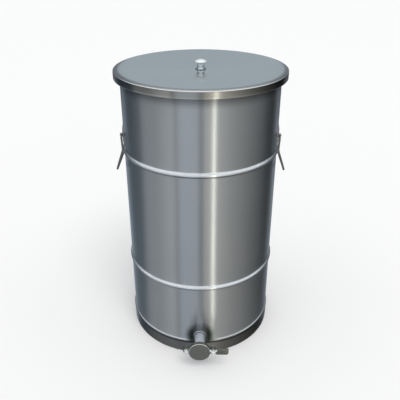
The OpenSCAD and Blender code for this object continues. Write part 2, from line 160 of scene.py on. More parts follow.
class Skin:
    """Gathers grids and flat faces, and turns them into one mesh."""

    def __init__(self) -> None:
        """Starts with no points and no faces."""
        self._points: list[Points] = []
        self._faces: list[list[int]] = []
        self._size = 0

    def grid(self, points: Points, rows_close: bool = False, cols_close: bool = False,
             keep: Points | None = None) -> "Skin":
        """Adds a grid of quads, each facing along its row step cross its column step.

        Args:
            points: Array (rows, columns, 3), in mm.
            rows_close: Whether the last row joins the first.
            cols_close: Whether the last column joins the first.
            keep: Which quads stay, as a mask (rows, columns); all of them without it.

        Returns:
            This skin.
        """
        rows, cols = points.shape[:2]
        row = np.arange(rows if rows_close else rows - 1)[:, None]
        col = np.arange(cols if cols_close else cols - 1)[None, :]
        row_next, col_next = (row + 1) % rows, (col + 1) % cols
        quads = np.stack((row * cols + col, row_next * cols + col,
                          row_next * cols + col_next, row * cols + col_next), axis=-1)
        quads = quads.reshape(-1, 4) if keep is None else quads[keep]
        self._faces.extend((quads + self._size).tolist())
        self._points.append(points.reshape(-1, 3))
        self._size += rows * cols
        return self

    def cap(self, ring: Points, flip: bool = False) -> "Skin":
        """Adds one flat face on a ring of points.

        Args:
            ring: Array (n, 3), in mm.
            flip: Whether the face turns its back to the side that the right-hand rule gives.

        Returns:
            This skin.
        """
        order = np.arange(len(ring)) + self._size
        self._faces.append((order[::-1] if flip else order).tolist())
        self._points.append(ring)
        self._size += len(ring)
        return self

    def slab(self, outline: Points, low: float, high: float, edge: float,
             place: Callable[[Points], Points]) -> "Skin":
        """Adds a plate with rounded edges.

        Each outline point moves inwards along the outline's own normal by edge times one less the sine,
        while the height goes through edge times one less the cosine, at both faces.

        Args:
            outline: Array (n, 2), counter-clockwise.
            low: Height of the lower face.
            high: Height of the upper face.
            edge: Radius of the edges.
            place: Takes the plate's coordinates to the tank's.

        Returns:
            This skin.
        """
        tangent = np.roll(outline, -1, axis=0) - np.roll(outline, 1, axis=0)
        normal = columns(tangent[:, 1], -tangent[:, 0])
        normal /= np.linalg.norm(normal, axis=1, keepdims=True)
        turn = np.radians(np.linspace(0.0, 90.0, 5))
        inset = edge * (1.0 - np.sin(turn))
        rise = edge * (1.0 - np.cos(turn))
        insets = np.concatenate((inset, inset[::-1]))
        heights = np.concatenate((low + rise, high - rise[::-1]))
        flat = outline[:, None, :] - normal[:, None, :] * insets[None, :, None]
        level = np.broadcast_to(heights[None, :, None], flat.shape[:2] + (1,))
        points = place(np.concatenate((flat, level), axis=-1))
        self.grid(points, rows_close=True)
        self.cap(points[:, 0], flip=True)
        return self.cap(points[:, -1])

    def mesh(self, name: str, sharp: float) -> bpy.types.Mesh:
        """Writes the mesh in metres, with seams and poles merged, smooth but for sharp edges.

        Args:
            name: Name of the mesh.
            sharp: Angle in degrees from which an edge stays sharp.

        Returns:
            The mesh.
        """
        made = bpy.data.meshes.new(name)
        made.from_pydata(np.vstack(self._points) * MM, [], self._faces)
        work = bmesh.new()
        work.from_mesh(made)
        bmesh.ops.remove_doubles(work, verts=work.verts, dist=MERGE_M)
        bmesh.ops.dissolve_degenerate(work, edges=work.edges, dist=SLIVER_M)
        work.to_mesh(made)
        work.free()
        made.polygons.foreach_set("use_smooth", np.ones(len(made.polygons), dtype=bool))
        made.set_sharp_from_angle(angle=math.radians(sharp))
        return made


def add_object(name: str, data: bpy.types.ID) -> bpy.types.Object:
    """Puts an object with this data into the scene.

    Args:
        name: Name of the object.
        data: Its mesh, lamp or camera.

    Returns:
        The object.
    """
    made = bpy.data.objects.new(name, data)
    bpy.context.scene.collection.objects.link(made)
    return made


def add_piece(name: str, skin: Skin, body: str, slot: str, stands_for: tuple[str, ...],
              sharp: float = 32.0, finish: str = "") -> bpy.types.Object:
    """Makes a piece of the tank, joins it to its body and hides the solids that it stands for.

    Args:
        name: Name of the piece.
        skin: Its surface.
        body: The body that it moves with.
        slot: The material slot that its finish belongs to.
        stands_for: The solids that it replaces.
        sharp: Angle in degrees from which an edge stays sharp.
        finish: The finish, where it isn't the slot's own.

    Returns:
        The new object.
    """
    piece = add_object(name, skin.mesh(name, sharp))
    piece.data.materials.append(FINISHES[finish or slot].material())
    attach(piece, body)
    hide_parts(*stands_for)
    LOG.info("%s: %d faces, moves with %s", name, len(piece.data.polygons), body)
    return piece


# Shader nodes


class Graph:
    """A node tree with short ways to add nodes and to join them."""

    MIX_INPUTS = (6, 7)
    MIX_OUTPUT = 2

    def __init__(self, tree: bpy.types.NodeTree) -> None:
        """Keeps the tree that the nodes go into."""
        self.tree = tree

    def feed(self, socket: Socket, value: Value) -> None:
        """Links a socket to another one, or sets its plain value.

        Args:
            socket: An input of a node in this tree.
            value: An output that goes into it, or its value.
        """
        if isinstance(value, bpy.types.NodeSocket):
            self.tree.links.new(value, socket)
        else:
            socket.default_value = value

    def node(self, kind: str, *feeds: Value, **settings: object) -> bpy.types.Node:
        """Adds a node.

        Args:
            kind: Its type.
            *feeds: What goes into its first inputs, in order.
            **settings: Its own properties.

        Returns:
            The node.
        """
        made = self.tree.nodes.new(kind)
        for key, value in settings.items():
            setattr(made, key, value)
        for socket, value in zip(made.inputs, feeds):
            self.feed(socket, value)
        return made

    def calc(self, operation: str, *values: Value) -> Socket:
        """One operation on one, two or three numbers."""
        return self.node("ShaderNodeMath", *values, operation=operation).outputs[0]

    def chained(self, operation: str, *values: Value) -> Socket:
        """The same operation on two numbers, over and over until one is left."""
        return reduce(lambda first, second: self.calc(operation, first, second), values)

    def length(self, first: Value, second: Value) -> Socket:
        """The root of the sum of two squares."""
        squares = [self.calc("MULTIPLY", side, side) for side in (first, second)]
        return self.calc("SQRT", self.calc("ADD", *squares))

    def remap(self, value: Value, low: float, high: float, to_low: float, to_high: float,
              smooth: bool = False) -> Socket:
        """Takes a number from one range to another, held at both ends.

        Args:
            value: The number.
            low: Start of its range.
            high: End of its range.
            to_low: Result at the start.
            to_high: Result at the end.
            smooth: Whether the result eases in and out.

        Returns:
            The result.
        """
        ease = "SMOOTHSTEP" if smooth else "LINEAR"
        made = self.node("ShaderNodeMapRange", value, low, high, to_low, to_high, interpolation_type=ease)
        return made.outputs[0]

    def band(self, value: Value, start: float, full: float, last: float, end: float,
             smooth: bool = False) -> Socket:
        """A share that is 1 inside a band and fades to 0 on both sides.

        Args:
            value: The number that goes through the band.
            start: Where the share leaves 0.
            full: Where it reaches 1.
            last: Where it leaves 1.
            end: Where it is 0 again.
            smooth: Whether it eases in and out.

        Returns:
            The share: the rise times the fall.
        """
        rise = self.remap(value, start, full, 0.0, 1.0, smooth)
        fall = self.remap(value, last, end, 1.0, 0.0, smooth)
        return self.calc("MULTIPLY", rise, fall)

    def mix(self, share: Value, first: Value, second: Value, blend: str = "MIX") -> Socket:
        """Mixes two colours.

        Args:
            share: How much of the second goes in.
            first: The first colour.
            second: The second colour.
            blend: How the second acts on the first.

        Returns:
            The mixed colour.
        """
        made = self.node("ShaderNodeMix", share, data_type="RGBA", blend_type=blend)
        for place, colour in zip(self.MIX_INPUTS, (first, second)):
            self.feed(made.inputs[place], (*colour, 1.0) if isinstance(colour, tuple) else colour)
        return made.outputs[self.MIX_OUTPUT]

    def noise(self, vector: Value, scale: Value, detail: float, rough: float = 0.5) -> Socket:
        """Cloudy noise between 0 and 1.

        Args:
            vector: The point that it is read at.
            scale: How many clouds there are to a unit.
            detail: Number of finer layers.
            rough: Weight of each finer layer.

        Returns:
            The noise.
        """
        made = self.node("ShaderNodeTexNoise", vector)
        for label, value in (("Scale", scale), ("Detail", detail), ("Roughness", rough)):
            self.feed(made.inputs[label], value)
        return made.outputs[0]

    def stretched(self, vector: Value, scale: Triple, place: Triple = (0.0, 0.0, 0.0)) -> Socket:
        """A vector less `place`, times a scale on each axis."""
        moved = self.node("ShaderNodeVectorMath", vector, place, operation="SUBTRACT").outputs[0]
        return self.node("ShaderNodeVectorMath", moved, scale, operation="MULTIPLY").outputs[0]

    def scaled(self, vector: Value, scale: Value) -> Socket:
        """A vector times one number.

        Args:
            vector: The vector, or a colour.
            scale: The number.

        Returns:
            The product.
        """
        made = self.node("ShaderNodeVectorMath", vector, operation="SCALE")
        self.feed(made.inputs["Scale"], scale)
        return made.outputs[0]

    def parts(self, vector: Value) -> list[Socket]:
        """The three parts of a vector."""
        return list(self.node("ShaderNodeSeparateXYZ", vector).outputs)

    def joined(self, *parts: Value) -> Socket:
        """A vector of three numbers."""
        return self.node("ShaderNodeCombineXYZ", *parts).outputs[0]

    def bump(self, height: Value, strength: float, depth: float) -> Socket:
        """A surface normal that follows a height.

        Args:
            height: The height, about 0 to 1.
            strength: How much of it shows.
            depth: Depth of a height of 1, in mm.

        Returns:
            The normal.
        """
        made = self.node("ShaderNodeBump")
        for label, value in (("Strength", strength), ("Distance", depth * MM), ("Height", height)):
            self.feed(made.inputs[label], value)
        return made.outputs[0]

    def group(self, tree: bpy.types.NodeTree, **feeds: Value) -> bpy.types.Node:
        """Puts a node group into this tree.

        Args:
            tree: The group.
            **feeds: What goes into its inputs, by their names.

        Returns:
            The group's node.
        """
        made = self.node("ShaderNodeGroup", node_tree=tree)
        for label, value in feeds.items():
            self.feed(made.inputs[label], value)
        return made


def new_group(name: str, inputs: dict[str, str],
              outputs: tuple[str, ...]) -> tuple[Graph, bpy.types.Node, bpy.types.Node]:
    """Starts a node group with named sockets.

    Args:
        name: Name of the group.
        inputs: Its inputs and their types.
        outputs: Its outputs, all of them numbers.

    Returns:
        Its graph, the node that gives the inputs and the node that takes the outputs.
    """
    tree = bpy.data.node_groups.new(name, "ShaderNodeTree")
    for label, kind in inputs.items():
        tree.interface.new_socket(label, in_out="INPUT", socket_type=kind)
    for label in outputs:
        tree.interface.new_socket(label, in_out="OUTPUT", socket_type="NodeSocketFloat")
    graph = Graph(tree)
    return graph, graph.node("NodeGroupInput"), graph.node("NodeGroupOutput")


@cache
def grinding_lines() -> bpy.types.NodeTree:
    """Fine lines and single deeper scratches, both long where the vector changes slowly.

    Returns:
        The group, built at its first use.
    """
    graph, given, wanted = new_group("grinding_lines", {"Vector": "NodeSocketVector"}, ("Lines", "Scratches"))
    vector = given.outputs["Vector"]
    fine = graph.noise(vector, 1.0, detail=5.0, rough=0.7)
    coarse = graph.noise(vector, 0.23, detail=2.0)
    both = graph.calc("MULTIPLY_ADD", fine, 0.65, graph.calc("MULTIPLY", coarse, 0.35))
    graph.feed(wanted.inputs["Lines"], graph.remap(both, 0.3, 0.7, 0.0, 1.0))
    deep = graph.noise(vector, 0.61, detail=1.0, rough=0.4)
    graph.feed(wanted.inputs["Scratches"], graph.remap(deep, 0.7, 0.76, 0.0, 1.0, smooth=True))
    return graph.tree


@cache
def handling_marks() -> bpy.types.NodeTree:
    """Soft wipe marks and small dull spots left by hands and water.

    Returns:
        The group, built at its first use.
    """
    graph, given, wanted = new_group(
        "handling_marks", {"Vector": "NodeSocketVector", "Size": "NodeSocketFloat"}, ("Wipes", "Spots"))
    vector, size = given.outputs["Vector"], given.outputs["Size"]
    wide = graph.noise(vector, size, detail=4.0, rough=0.55)
    graph.feed(wanted.inputs["Wipes"], graph.remap(wide, 0.38, 0.72, 0.0, 1.0, smooth=True))
    small = graph.noise(vector, graph.calc("MULTIPLY", size, 9.0), detail=2.0)
    graph.feed(wanted.inputs["Spots"], graph.remap(small, 0.66, 0.78, 0.0, 1.0, smooth=True))
    return graph.tree


# Finishes


class Grain(Enum):
    """Which way the grinding lines of a steel surface run."""

    ROUND_TANK = "round the tank"
    SPUN = "in rings about the tank axis"
    TURNED = "in rings about the outlet axis"
    DRAWN = "up and down"
    CLOUDY = "no direction"


GRAIN_STRETCH: dict[Grain, Triple] = {
    Grain.ROUND_TANK: (5.0, 5.0, 1100.0),
    Grain.SPUN: (900.0, 900.0, 6.0),
    Grain.TURNED: (900.0, 900.0, 6.0),
    Grain.DRAWN: (700.0, 700.0, 30.0),
    Grain.CLOUDY: (350.0, 350.0, 350.0),
}


class Measure(Enum):
    """What a point of a surface is measured by."""

    HEIGHT = "height above the floor"
    TANK_RADIUS = "distance from the tank axis"
    OUTLET_RADIUS = "distance from the outlet axis"

    def of(self, graph: Graph, spot: Socket) -> Socket:
        """This measure of a point.

        Args:
            graph: Tree of the material.
            spot: The point's Object coordinates.

        Returns:
            The measure, in metres.
        """
        x, y, z = graph.parts(spot)
        if self is Measure.HEIGHT:
            return z
        if self is Measure.TANK_RADIUS:
            return graph.length(x, y)
        return graph.length(x, graph.calc("SUBTRACT", z, OUTLET_Z * MM))


@dataclass(frozen=True)
class Zone:
    """A band of a surface with another tint, with a soft start and end. Sizes in mm."""

    measure: Measure
    start: float
    full: float
    last: float
    end: float
    tint: Colour

    def share(self, graph: Graph, spot: Socket) -> Socket:
        """How far a point lies inside the band, from 0 to 1."""
        edges = (edge * MM for edge in (self.start, self.full, self.last, self.end))
        return graph.band(self.measure.of(graph, spot), *edges, smooth=True)


@dataclass
class Layers:
    """What a steel material is built up from: its colour, roughness and height so far."""

    colour: Socket
    rough: Socket
    height: Socket


@dataclass(frozen=True)
class OutletShadeHalo:
    """Painted shade round the outlet, darkest at its sides: the gate's shade and its dark reflection on the
    shell. Sizes in mm.
    """

    tint: Colour = (0.07, 0.085, 0.07)
    middle: Pair = (1.5, OUTLET_Z - 4.0)
    stretch: Pair = (0.86, 0.74)
    near: float = 25.0
    far: float = 45.0
    uneven: float = 6.0
    clouds: float = 90.0
    middle_share: float = 0.6
    side_start: float = 6.0
    side_full: float = 20.0

    def share(self, graph: Graph, spot: Socket) -> Socket:
        """How dark the halo is at a point, from 0 to 1.

        It fades with the distance from the halo's middle, which is stretched and made uneven by noise,
        grows with the distance to the side, and is only on the front of the tank.

        Args:
            graph: Tree of the material.
            spot: The point's Object coordinates.

        Returns:
            The share.
        """
        place = (self.middle[0] * MM, 0.0, self.middle[1] * MM)
        x, y, z = graph.parts(graph.stretched(spot, (self.stretch[0], 1.0, self.stretch[1]), place))
        cloud = graph.noise(spot, self.clouds, detail=3.0)
        away = graph.calc("MULTIPLY_ADD", cloud, self.uneven * MM, graph.length(x, z))
        near = graph.remap(away, self.near * MM, self.far * MM, 1.0, 0.0, smooth=True)
        sides = graph.remap(graph.calc("ABSOLUTE", x), self.side_start * MM, self.side_full * MM,
                            self.middle_share, 1.0, smooth=True)
        return graph.chained("MULTIPLY", near, sides, graph.calc("LESS_THAN", y, 0.0))


@dataclass(frozen=True)
class WeldSeam:
    """The upright weld down the back of the shell: a dull raised strip. Sizes in mm."""

    half: float = 1.1
    end: float = 2.1
    colour: Colour = (0.5, 0.47, 0.43)
    share: float = 0.5
    rougher: float = 0.08
    raised: float = 4.0

    def lay(self, graph: Graph, spot: Socket, layers: Layers) -> None:
        """Lays the weld over what a material has so far.

        Args:
            graph: Tree of the material.
            spot: A point's Object coordinates.
            layers: The material so far, which changes.
        """
        x, y, _ = graph.parts(spot)
        near = graph.remap(graph.calc("ABSOLUTE", x), self.half * MM, self.end * MM, 1.0, 0.0, smooth=True)
        weld = graph.calc("MULTIPLY", near, graph.calc("GREATER_THAN", y, 0.0))
        layers.colour = graph.mix(graph.calc("MULTIPLY", weld, self.share), layers.colour, self.colour)
        layers.rough = graph.calc("MULTIPLY_ADD", weld, self.rougher, layers.rough)
        layers.height = graph.calc("MULTIPLY_ADD", weld, self.raised, layers.height)


@dataclass(frozen=True)
class Finish:
    """A surface with a material of its own."""

    name: str
    colour: Colour
    roughness: float

    def dress(self, graph: Graph, shader: bpy.types.Node, spot: Socket) -> None:
        """Joins the nodes of this kind of finish to the shader."""
        raise NotImplementedError

    def material(self) -> bpy.types.Material:
        """The material of this finish.

        Returns:
            The material, built at its first use.
        """
        known = bpy.data.materials.get(self.name)
        if known is not None:
            return known
        made = bpy.data.materials.new(self.name)
        made.use_nodes = True
        graph = Graph(made.node_tree)
        spot = graph.node("ShaderNodeTexCoord").outputs["Object"]
        self.dress(graph, made.node_tree.nodes["Principled BSDF"], spot)
        return made


@dataclass(frozen=True)
class SteelFinish(Finish):
    """A steel surface: its colour, gloss, grinding lines, marks of use, weld seam, and tints that include
    painted shade and highlights.
    """

    grain: Grain
    streak: float = 0.05
    rough_change: float = 0.05
    marks: float = 0.05
    mark_size: float = 7.0
    wipe_weight: float = 4.0
    wipe_level: float = 0.86
    spot_weight: float = 0.8
    relief: float = 0.1
    line_depth: float = 0.02
    anisotropy: float = 0.0
    turn: float = 0.0
    metal: float = 1.0
    tints: tuple[Zone | OutletShadeHalo, ...] = ()
    seam: WeldSeam | None = None

    def _along_grain(self, graph: Graph, spot: Socket) -> Socket:
        """A point's coordinates, stretched so that noise on them runs along the grain.

        Args:
            graph: Tree of the material.
            spot: The point's Object coordinates.

        Returns:
            The stretched coordinates. Rings take the radius, the height over the rings and X.
        """
        x, y, z = graph.parts(spot)
        if self.grain is Grain.SPUN:
            spot = graph.joined(Measure.TANK_RADIUS.of(graph, spot), z, x)
        elif self.grain is Grain.TURNED:
            spot = graph.joined(Measure.OUTLET_RADIUS.of(graph, spot), y, x)
        return graph.stretched(spot, GRAIN_STRETCH[self.grain])

    def _ground(self, graph: Graph, spot: Socket) -> Layers:
        """The ground sheet with its marks of use.

        Args:
            graph: Tree of the material.
            spot: A point's Object coordinates.

        Returns:
            Colour and roughness that follow the lines and the marks, and the lines as a height.
        """
        ground = graph.group(grinding_lines(), Vector=self._along_grain(graph, spot))
        used = graph.group(handling_marks(), Vector=spot, Size=self.mark_size)
        lines, wipes = ground.outputs["Lines"], used.outputs["Wipes"]
        dark = tuple(c * (1.0 - self.streak) for c in self.colour)
        light = tuple(min(1.0, c * (1.0 + self.streak)) for c in self.colour)
        dull = tuple(c * self.wipe_level for c in self.colour)
        dulled = graph.calc("MULTIPLY", wipes, self.marks * self.wipe_weight)
        colour = graph.mix(dulled, graph.mix(lines, dark, light), dull)
        rough = graph.remap(lines, 0.0, 1.0, self.roughness - self.rough_change,
                            self.roughness + self.rough_change)
        rough = graph.calc("MULTIPLY_ADD", wipes, self.marks, rough)
        rough = graph.calc("MULTIPLY_ADD", used.outputs["Spots"], self.marks * self.spot_weight, rough)
        return Layers(colour, rough, graph.calc("SUBTRACT", lines, ground.outputs["Scratches"]))

    def dress(self, graph: Graph, shader: bpy.types.Node, spot: Socket) -> None:
        """Joins the ground sheet, its tints and its weld seam to the shader.

        Args:
            graph: Tree of the material.
            shader: Its surface shader.
            spot: A point's Object coordinates.
        """
        layers = self._ground(graph, spot)
        for part in self.tints:
            layers.colour = graph.mix(part.share(graph, spot), layers.colour, part.tint, "MULTIPLY")
        if self.seam:
            self.seam.lay(graph, spot, layers)
        graph.feed(shader.inputs["Base Color"], layers.colour)
        graph.feed(shader.inputs["Roughness"], layers.rough)
        graph.feed(shader.inputs["Normal"], graph.bump(layers.height, self.relief, self.line_depth))
        shader.inputs["Metallic"].default_value = self.metal
        shader.inputs["Anisotropic"].default_value = self.anisotropy
        shader.inputs["Anisotropic Rotation"].default_value = self.turn


@dataclass(frozen=True)
class RubberFinish(Finish):
    """A rubber surface with a fine moulded skin and a little dust."""

    mark_size: float = 60.0
    dust: float = 0.05
    dust_level: float = 0.8
    smoother: float = 0.06
    rougher: float = 0.08
    pores: float = 2500.0
    relief: float = 0.25
    pore_depth: float = 0.05

    def dress(self, graph: Graph, shader: bpy.types.Node, spot: Socket) -> None:
        """Joins the dust and the moulded skin to the shader.

        Args:
            graph: Tree of the material.
            shader: Its surface shader.
            spot: A point's Object coordinates.
        """
        wipes = graph.group(handling_marks(), Vector=spot, Size=self.mark_size).outputs["Wipes"]
        dusty = tuple(c * self.dust_level + self.dust for c in self.colour)
        rough = graph.remap(wipes, 0.0, 1.0, self.roughness - self.smoother, self.roughness + self.rougher)
        skin = graph.bump(graph.noise(spot, self.pores, detail=2.0), self.relief, self.pore_depth)
        graph.feed(shader.inputs["Base Color"], graph.mix(wipes, self.colour, dusty))
        graph.feed(shader.inputs["Roughness"], rough)
        graph.feed(shader.inputs["Normal"], skin)


FINISHES: dict[str, Finish] = {
    "shell_steel": SteelFinish(
        "brushed_shell", (0.545, 0.556, 0.566), 0.3, Grain.ROUND_TANK, streak=0.03, rough_change=0.02,
        marks=0.02, relief=0.03, anisotropy=1.0, turn=0.25, seam=WeldSeam(),
        # Painted shade under the lid, painted highlights on the upper halves of both beads, and painted shade
        # round the neck.
        tints=(Zone(Measure.HEIGHT, 698.0, 725.0, 728.0, 730.5, (0.5, 0.5, 0.5)),
               Zone(Measure.HEIGHT, 218.5, 221.0, 228.0, 230.0, (1.75, 1.75, 1.75)),
               Zone(Measure.HEIGHT, 541.5, 544.0, 551.0, 553.0, (1.75, 1.75, 1.75)),
               OutletShadeHalo())),
    "lid_steel": SteelFinish(
        "spun_lid", (0.58, 0.58, 0.575), 0.18, Grain.SPUN, streak=0.03, rough_change=0.02, marks=0.03,
        relief=0.03,
        # Painted highlight on the corner, and a warmer rim below it.
        tints=(Zone(Measure.TANK_RADIUS, 213.2, 213.8, 214.6, 215.0, (1.65, 1.65, 1.65)),
               Zone(Measure.TANK_RADIUS, 214.8, 215.1, 220.0, 221.0, (0.9, 0.87, 0.82)))),
    "base_steel": SteelFinish(
        "rolled_strip", (0.205, 0.201, 0.194), 0.33, Grain.ROUND_TANK,
        # Shade under the seam bead.
        tints=(Zone(Measure.HEIGHT, 30.0, 35.5, 60.0, 61.0, (0.32, 0.32, 0.34)),)),
    "seam_bead": SteelFinish(
        # Painted shade round the outlet, on the seam bead as well.
        "bright_seam", (0.6, 0.61, 0.62), 0.25, Grain.ROUND_TANK, streak=0.03, tints=(OutletShadeHalo(),)),
    "rod_steel": SteelFinish("drawn_rod", (0.22, 0.22, 0.22), 0.3, Grain.DRAWN),
    "plate_steel": SteelFinish("pressed_plate", (0.36, 0.355, 0.35), 0.33, Grain.DRAWN),
    "neck_steel": SteelFinish("satin_pipe", (0.72, 0.76, 0.83), 0.38, Grain.TURNED, metal=0.55),
    "weld_collar": SteelFinish(
        "weld_collar", (0.8, 0.83, 0.86), 0.35, Grain.CLOUDY, metal=0.7,
        # Dark down to the bright foot.
        tints=(Zone(Measure.OUTLET_RADIUS, 12.0, 12.5, 15.6, 16.4, (0.2, 0.21, 0.24)),)),
    "gate_steel": SteelFinish(
        "ground_gate", (0.262, 0.262, 0.238), 0.36, Grain.TURNED, streak=0.07, marks=0.07),
    "blade_disc": SteelFinish(
        "ground_disc", (0.262, 0.262, 0.238), 0.36, Grain.TURNED, streak=0.07, marks=0.07,
        # Painted highlight on the rounded rim.
        tints=(Zone(Measure.OUTLET_RADIUS, 27.4, 27.9, 28.7, 28.97, (3.3, 3.3, 3.5)),)),
    "fastener_steel": SteelFinish(
        "bright_fastener", (0.9, 0.9, 0.9), 0.2, Grain.TURNED, streak=0.04, metal=0.6),
    # Near-white, part-diffuse colour: painted glints on the chrome wings and hub.
    "hand_nut": SteelFinish(
        "hand_nut_painted_glints", (0.95, 0.95, 0.95), 0.25, Grain.CLOUDY, streak=0.02, relief=0.03, metal=0.5),
    "knob_chrome": SteelFinish(
        "polished_knob", (0.6, 0.67, 0.7), 0.1, Grain.SPUN, streak=0.02, rough_change=0.02, marks=0.03,
        relief=0.03),
    # A paler, part-diffuse copy of the knob's chrome: painted highlight from the light above.
    "knob_head": SteelFinish(
        "knob_head_painted_highlight", (0.9, 0.94, 0.96), 0.35, Grain.CLOUDY, streak=0.02, relief=0.0, metal=0.6),
    "gasket_rubber": RubberFinish("grey_gasket", (0.155, 0.175, 0.185), 0.65),
    "seal_rubber": RubberFinish("pale_seal", (0.72, 0.72, 0.68), 0.55),
}


# The tank


@dataclass
class Shell:
    """The rolled sheet: wall, two swage beads, outlet hole, curled mouth. Sizes in mm, turns in degrees."""

    radius: float = 200.0
    sheet: float = 1.0
    foot_rows: Triple = (8.0, 8.5, 24.0)
    wall_rows: tuple[tuple[float, float, int], ...] = ((100, 200, 6), (250, 520, 12), (575, 730, 8))
    bead_heights: Pair = (221.5, 544.5)
    bead_half: float = 8.0
    bead_turn: float = 53.13
    bead_margin: float = 1.5
    crown_r: float = 6.0
    crown_in: float = 2.0
    crown_trim: float = 4.0
    fillet_r: float = 4.0
    curl_centre: Pair = (205.5, 740.0)
    curl_r: float = 6.5
    curl_end: float = 138.0
    hole_r: float = 13.05
    window: float = 20.0
    window_steps: int = 8
    window_rings: tuple[float, ...] = (0.0, 0.08, 0.3, 0.6, 1.0)
    steps_round: int = 246

    def _bead(self, z: float) -> Points:
        """A bead: fillet arc, crown arc and fillet arc, with a plain row close to each end.

        Args:
            z: Height of its middle.

        Returns:
            Its outline, from below to above.
        """
        out = self.radius + self.fillet_r
        crown = self.bead_turn - self.crown_trim
        return chain(
            wall(self.radius, z - self.bead_half - self.bead_margin),
            arc((out, z - self.bead_half), self.fillet_r, 180, 180 - self.bead_turn, steps=7),
            arc((self.radius - self.crown_in, z), self.crown_r, -crown, crown, steps=16),
            arc((out, z + self.bead_half), self.fillet_r, 180 + self.bead_turn, 180, steps=7),
            wall(self.radius, z + self.bead_half + self.bead_margin))

    def _profile(self) -> tuple[Points, int]:
        """The outer face of the sheet from its lower edge to the end of the curl.

        Returns:
            The outline, and the place in it where the window round the outlet starts.
        """
        foot = wall(self.radius, self.foot_rows)
        window = np.linspace(OUTLET_Z - self.window, OUTLET_Z + self.window, self.window_steps + 1)
        lower, middle, upper = (wall(self.radius, np.linspace(*rows)) for rows in self.wall_rows)
        low_bead, high_bead = (self._bead(z) for z in self.bead_heights)
        curl = arc(self.curl_centre, self.curl_r - self.sheet, 180, -self.curl_end, steps=36)
        outline = chain(foot, wall(self.radius, window), lower, low_bead, middle, high_bead, upper, curl)
        return outline, len(foot)

    def _angles(self) -> Points:
        """Angles round the tank, with equal steps across the window in front.

        Returns:
            The angles, in radians, from the left edge of the window.
        """
        half = self.window / self.radius
        front = np.linspace(-half, half, self.window_steps + 1)
        rest = np.linspace(half, 2 * np.pi - half, self.steps_round + 1)[1:-1]
        return np.concatenate((front, rest)) - np.pi / 2

    def _patch(self) -> Points:
        """The window with its round hole: rays from the hole's edge to the window's, rolled on the wall.

        A flat point is the hole's edge and the window's in a fixed share. Its step to the side over the
        radius is the angle on the wall.

        Returns:
            A grid, round first and outwards second.
        """
        side = np.linspace(-self.window, self.window, self.window_steps + 1)[:-1]
        edge = chain(columns(side, self.window), columns(self.window, -side),
                     columns(-side, -self.window), columns(-self.window, side))
        hole = edge / np.linalg.norm(edge, axis=1, keepdims=True) * self.hole_r
        share = np.array(self.window_rings)[None, :, None]
        flat = hole[:, None] * (1 - share) + edge[:, None] * share
        bearing = flat[..., 0] / self.radius
        return np.stack((self.radius * np.sin(bearing), -self.radius * np.cos(bearing),
                         flat[..., 1] + OUTLET_Z), axis=-1)

    def build(self) -> None:
        """Builds the sheet as its outer face, and thickens it inwards."""
        outline, first = self._profile()
        angles = self._angles()
        keep = np.ones((len(angles), len(outline) - 1), dtype=bool)
        keep[:self.window_steps, first:first + self.window_steps] = False
        skin = Skin().grid(turned(outline, angles), rows_close=True, keep=keep)
        skin.grid(self._patch(), rows_close=True)
        piece = add_piece("shell_sheet", skin, "tank", "shell_steel", (
            "shell_lower_course", "shell_lower_bead", "shell_middle_course", "shell_upper_bead",
            "shell_upper_course", "shell_mouth_curl"))
        thick = piece.modifiers.new("sheet_thickness", "SOLIDIFY")
        thick.thickness = self.sheet * MM
        thick.offset = -1.0


@dataclass
class BaseRing:
    """The strip round the foot with its seam bead and turned-in foot. Sizes in mm."""

    inner: float = 200.05
    outer: float = 202.0
    outer_rows: Triple = (4.0, 20.0, 36.5)
    inner_row: float = 30.0
    corner_r: float = 1.6
    foot_inner: float = 192.0
    foot_t: float = 2.0
    foot_lip_r: float = 1.0
    seam_centre: Pair = (199.0, 40.5)
    seam_r: float = 4.0
    seam_lap: float = 1.5
    steps_round: int = 256

    def build(self) -> None:
        """Turns the strip's section, foot, rounded corner and both faces, and the seam bead's, an arc."""
        seam_x, seam_z = self.seam_centre
        low, high = (math.degrees(math.acos((r - seam_x) / self.seam_r)) for r in (self.outer, self.inner))
        top = seam_z - self.seam_lap
        lip = (self.foot_inner + self.foot_lip_r, self.foot_lip_r)
        strip = chain(
            arc(lip, self.foot_lip_r, 180, 270, steps=4),
            arc((self.outer - self.corner_r, self.corner_r), self.corner_r, -90, 0, steps=6),
            wall(self.outer, (*self.outer_rows, top)),
            wall(self.inner, (top, self.inner_row, self.foot_t)),
            arc(lip, self.foot_lip_r, 90, 180, steps=4)[:-1])
        bead = chain(arc(self.seam_centre, self.seam_r, -low, high, steps=18),
                     wall(self.inner, seam_z - self.seam_r * math.sin(math.radians(low))))
        for name, section, finish in (("base_hoop", strip, ""), ("base_seam_bead", bead, "seam_bead")):
            grid = turned(section, full_turn(self.steps_round))
            skin = Skin().grid(grid, rows_close=True, cols_close=True)
            add_piece(name, skin, "tank", "base_steel", ("base_ring",), finish=finish)


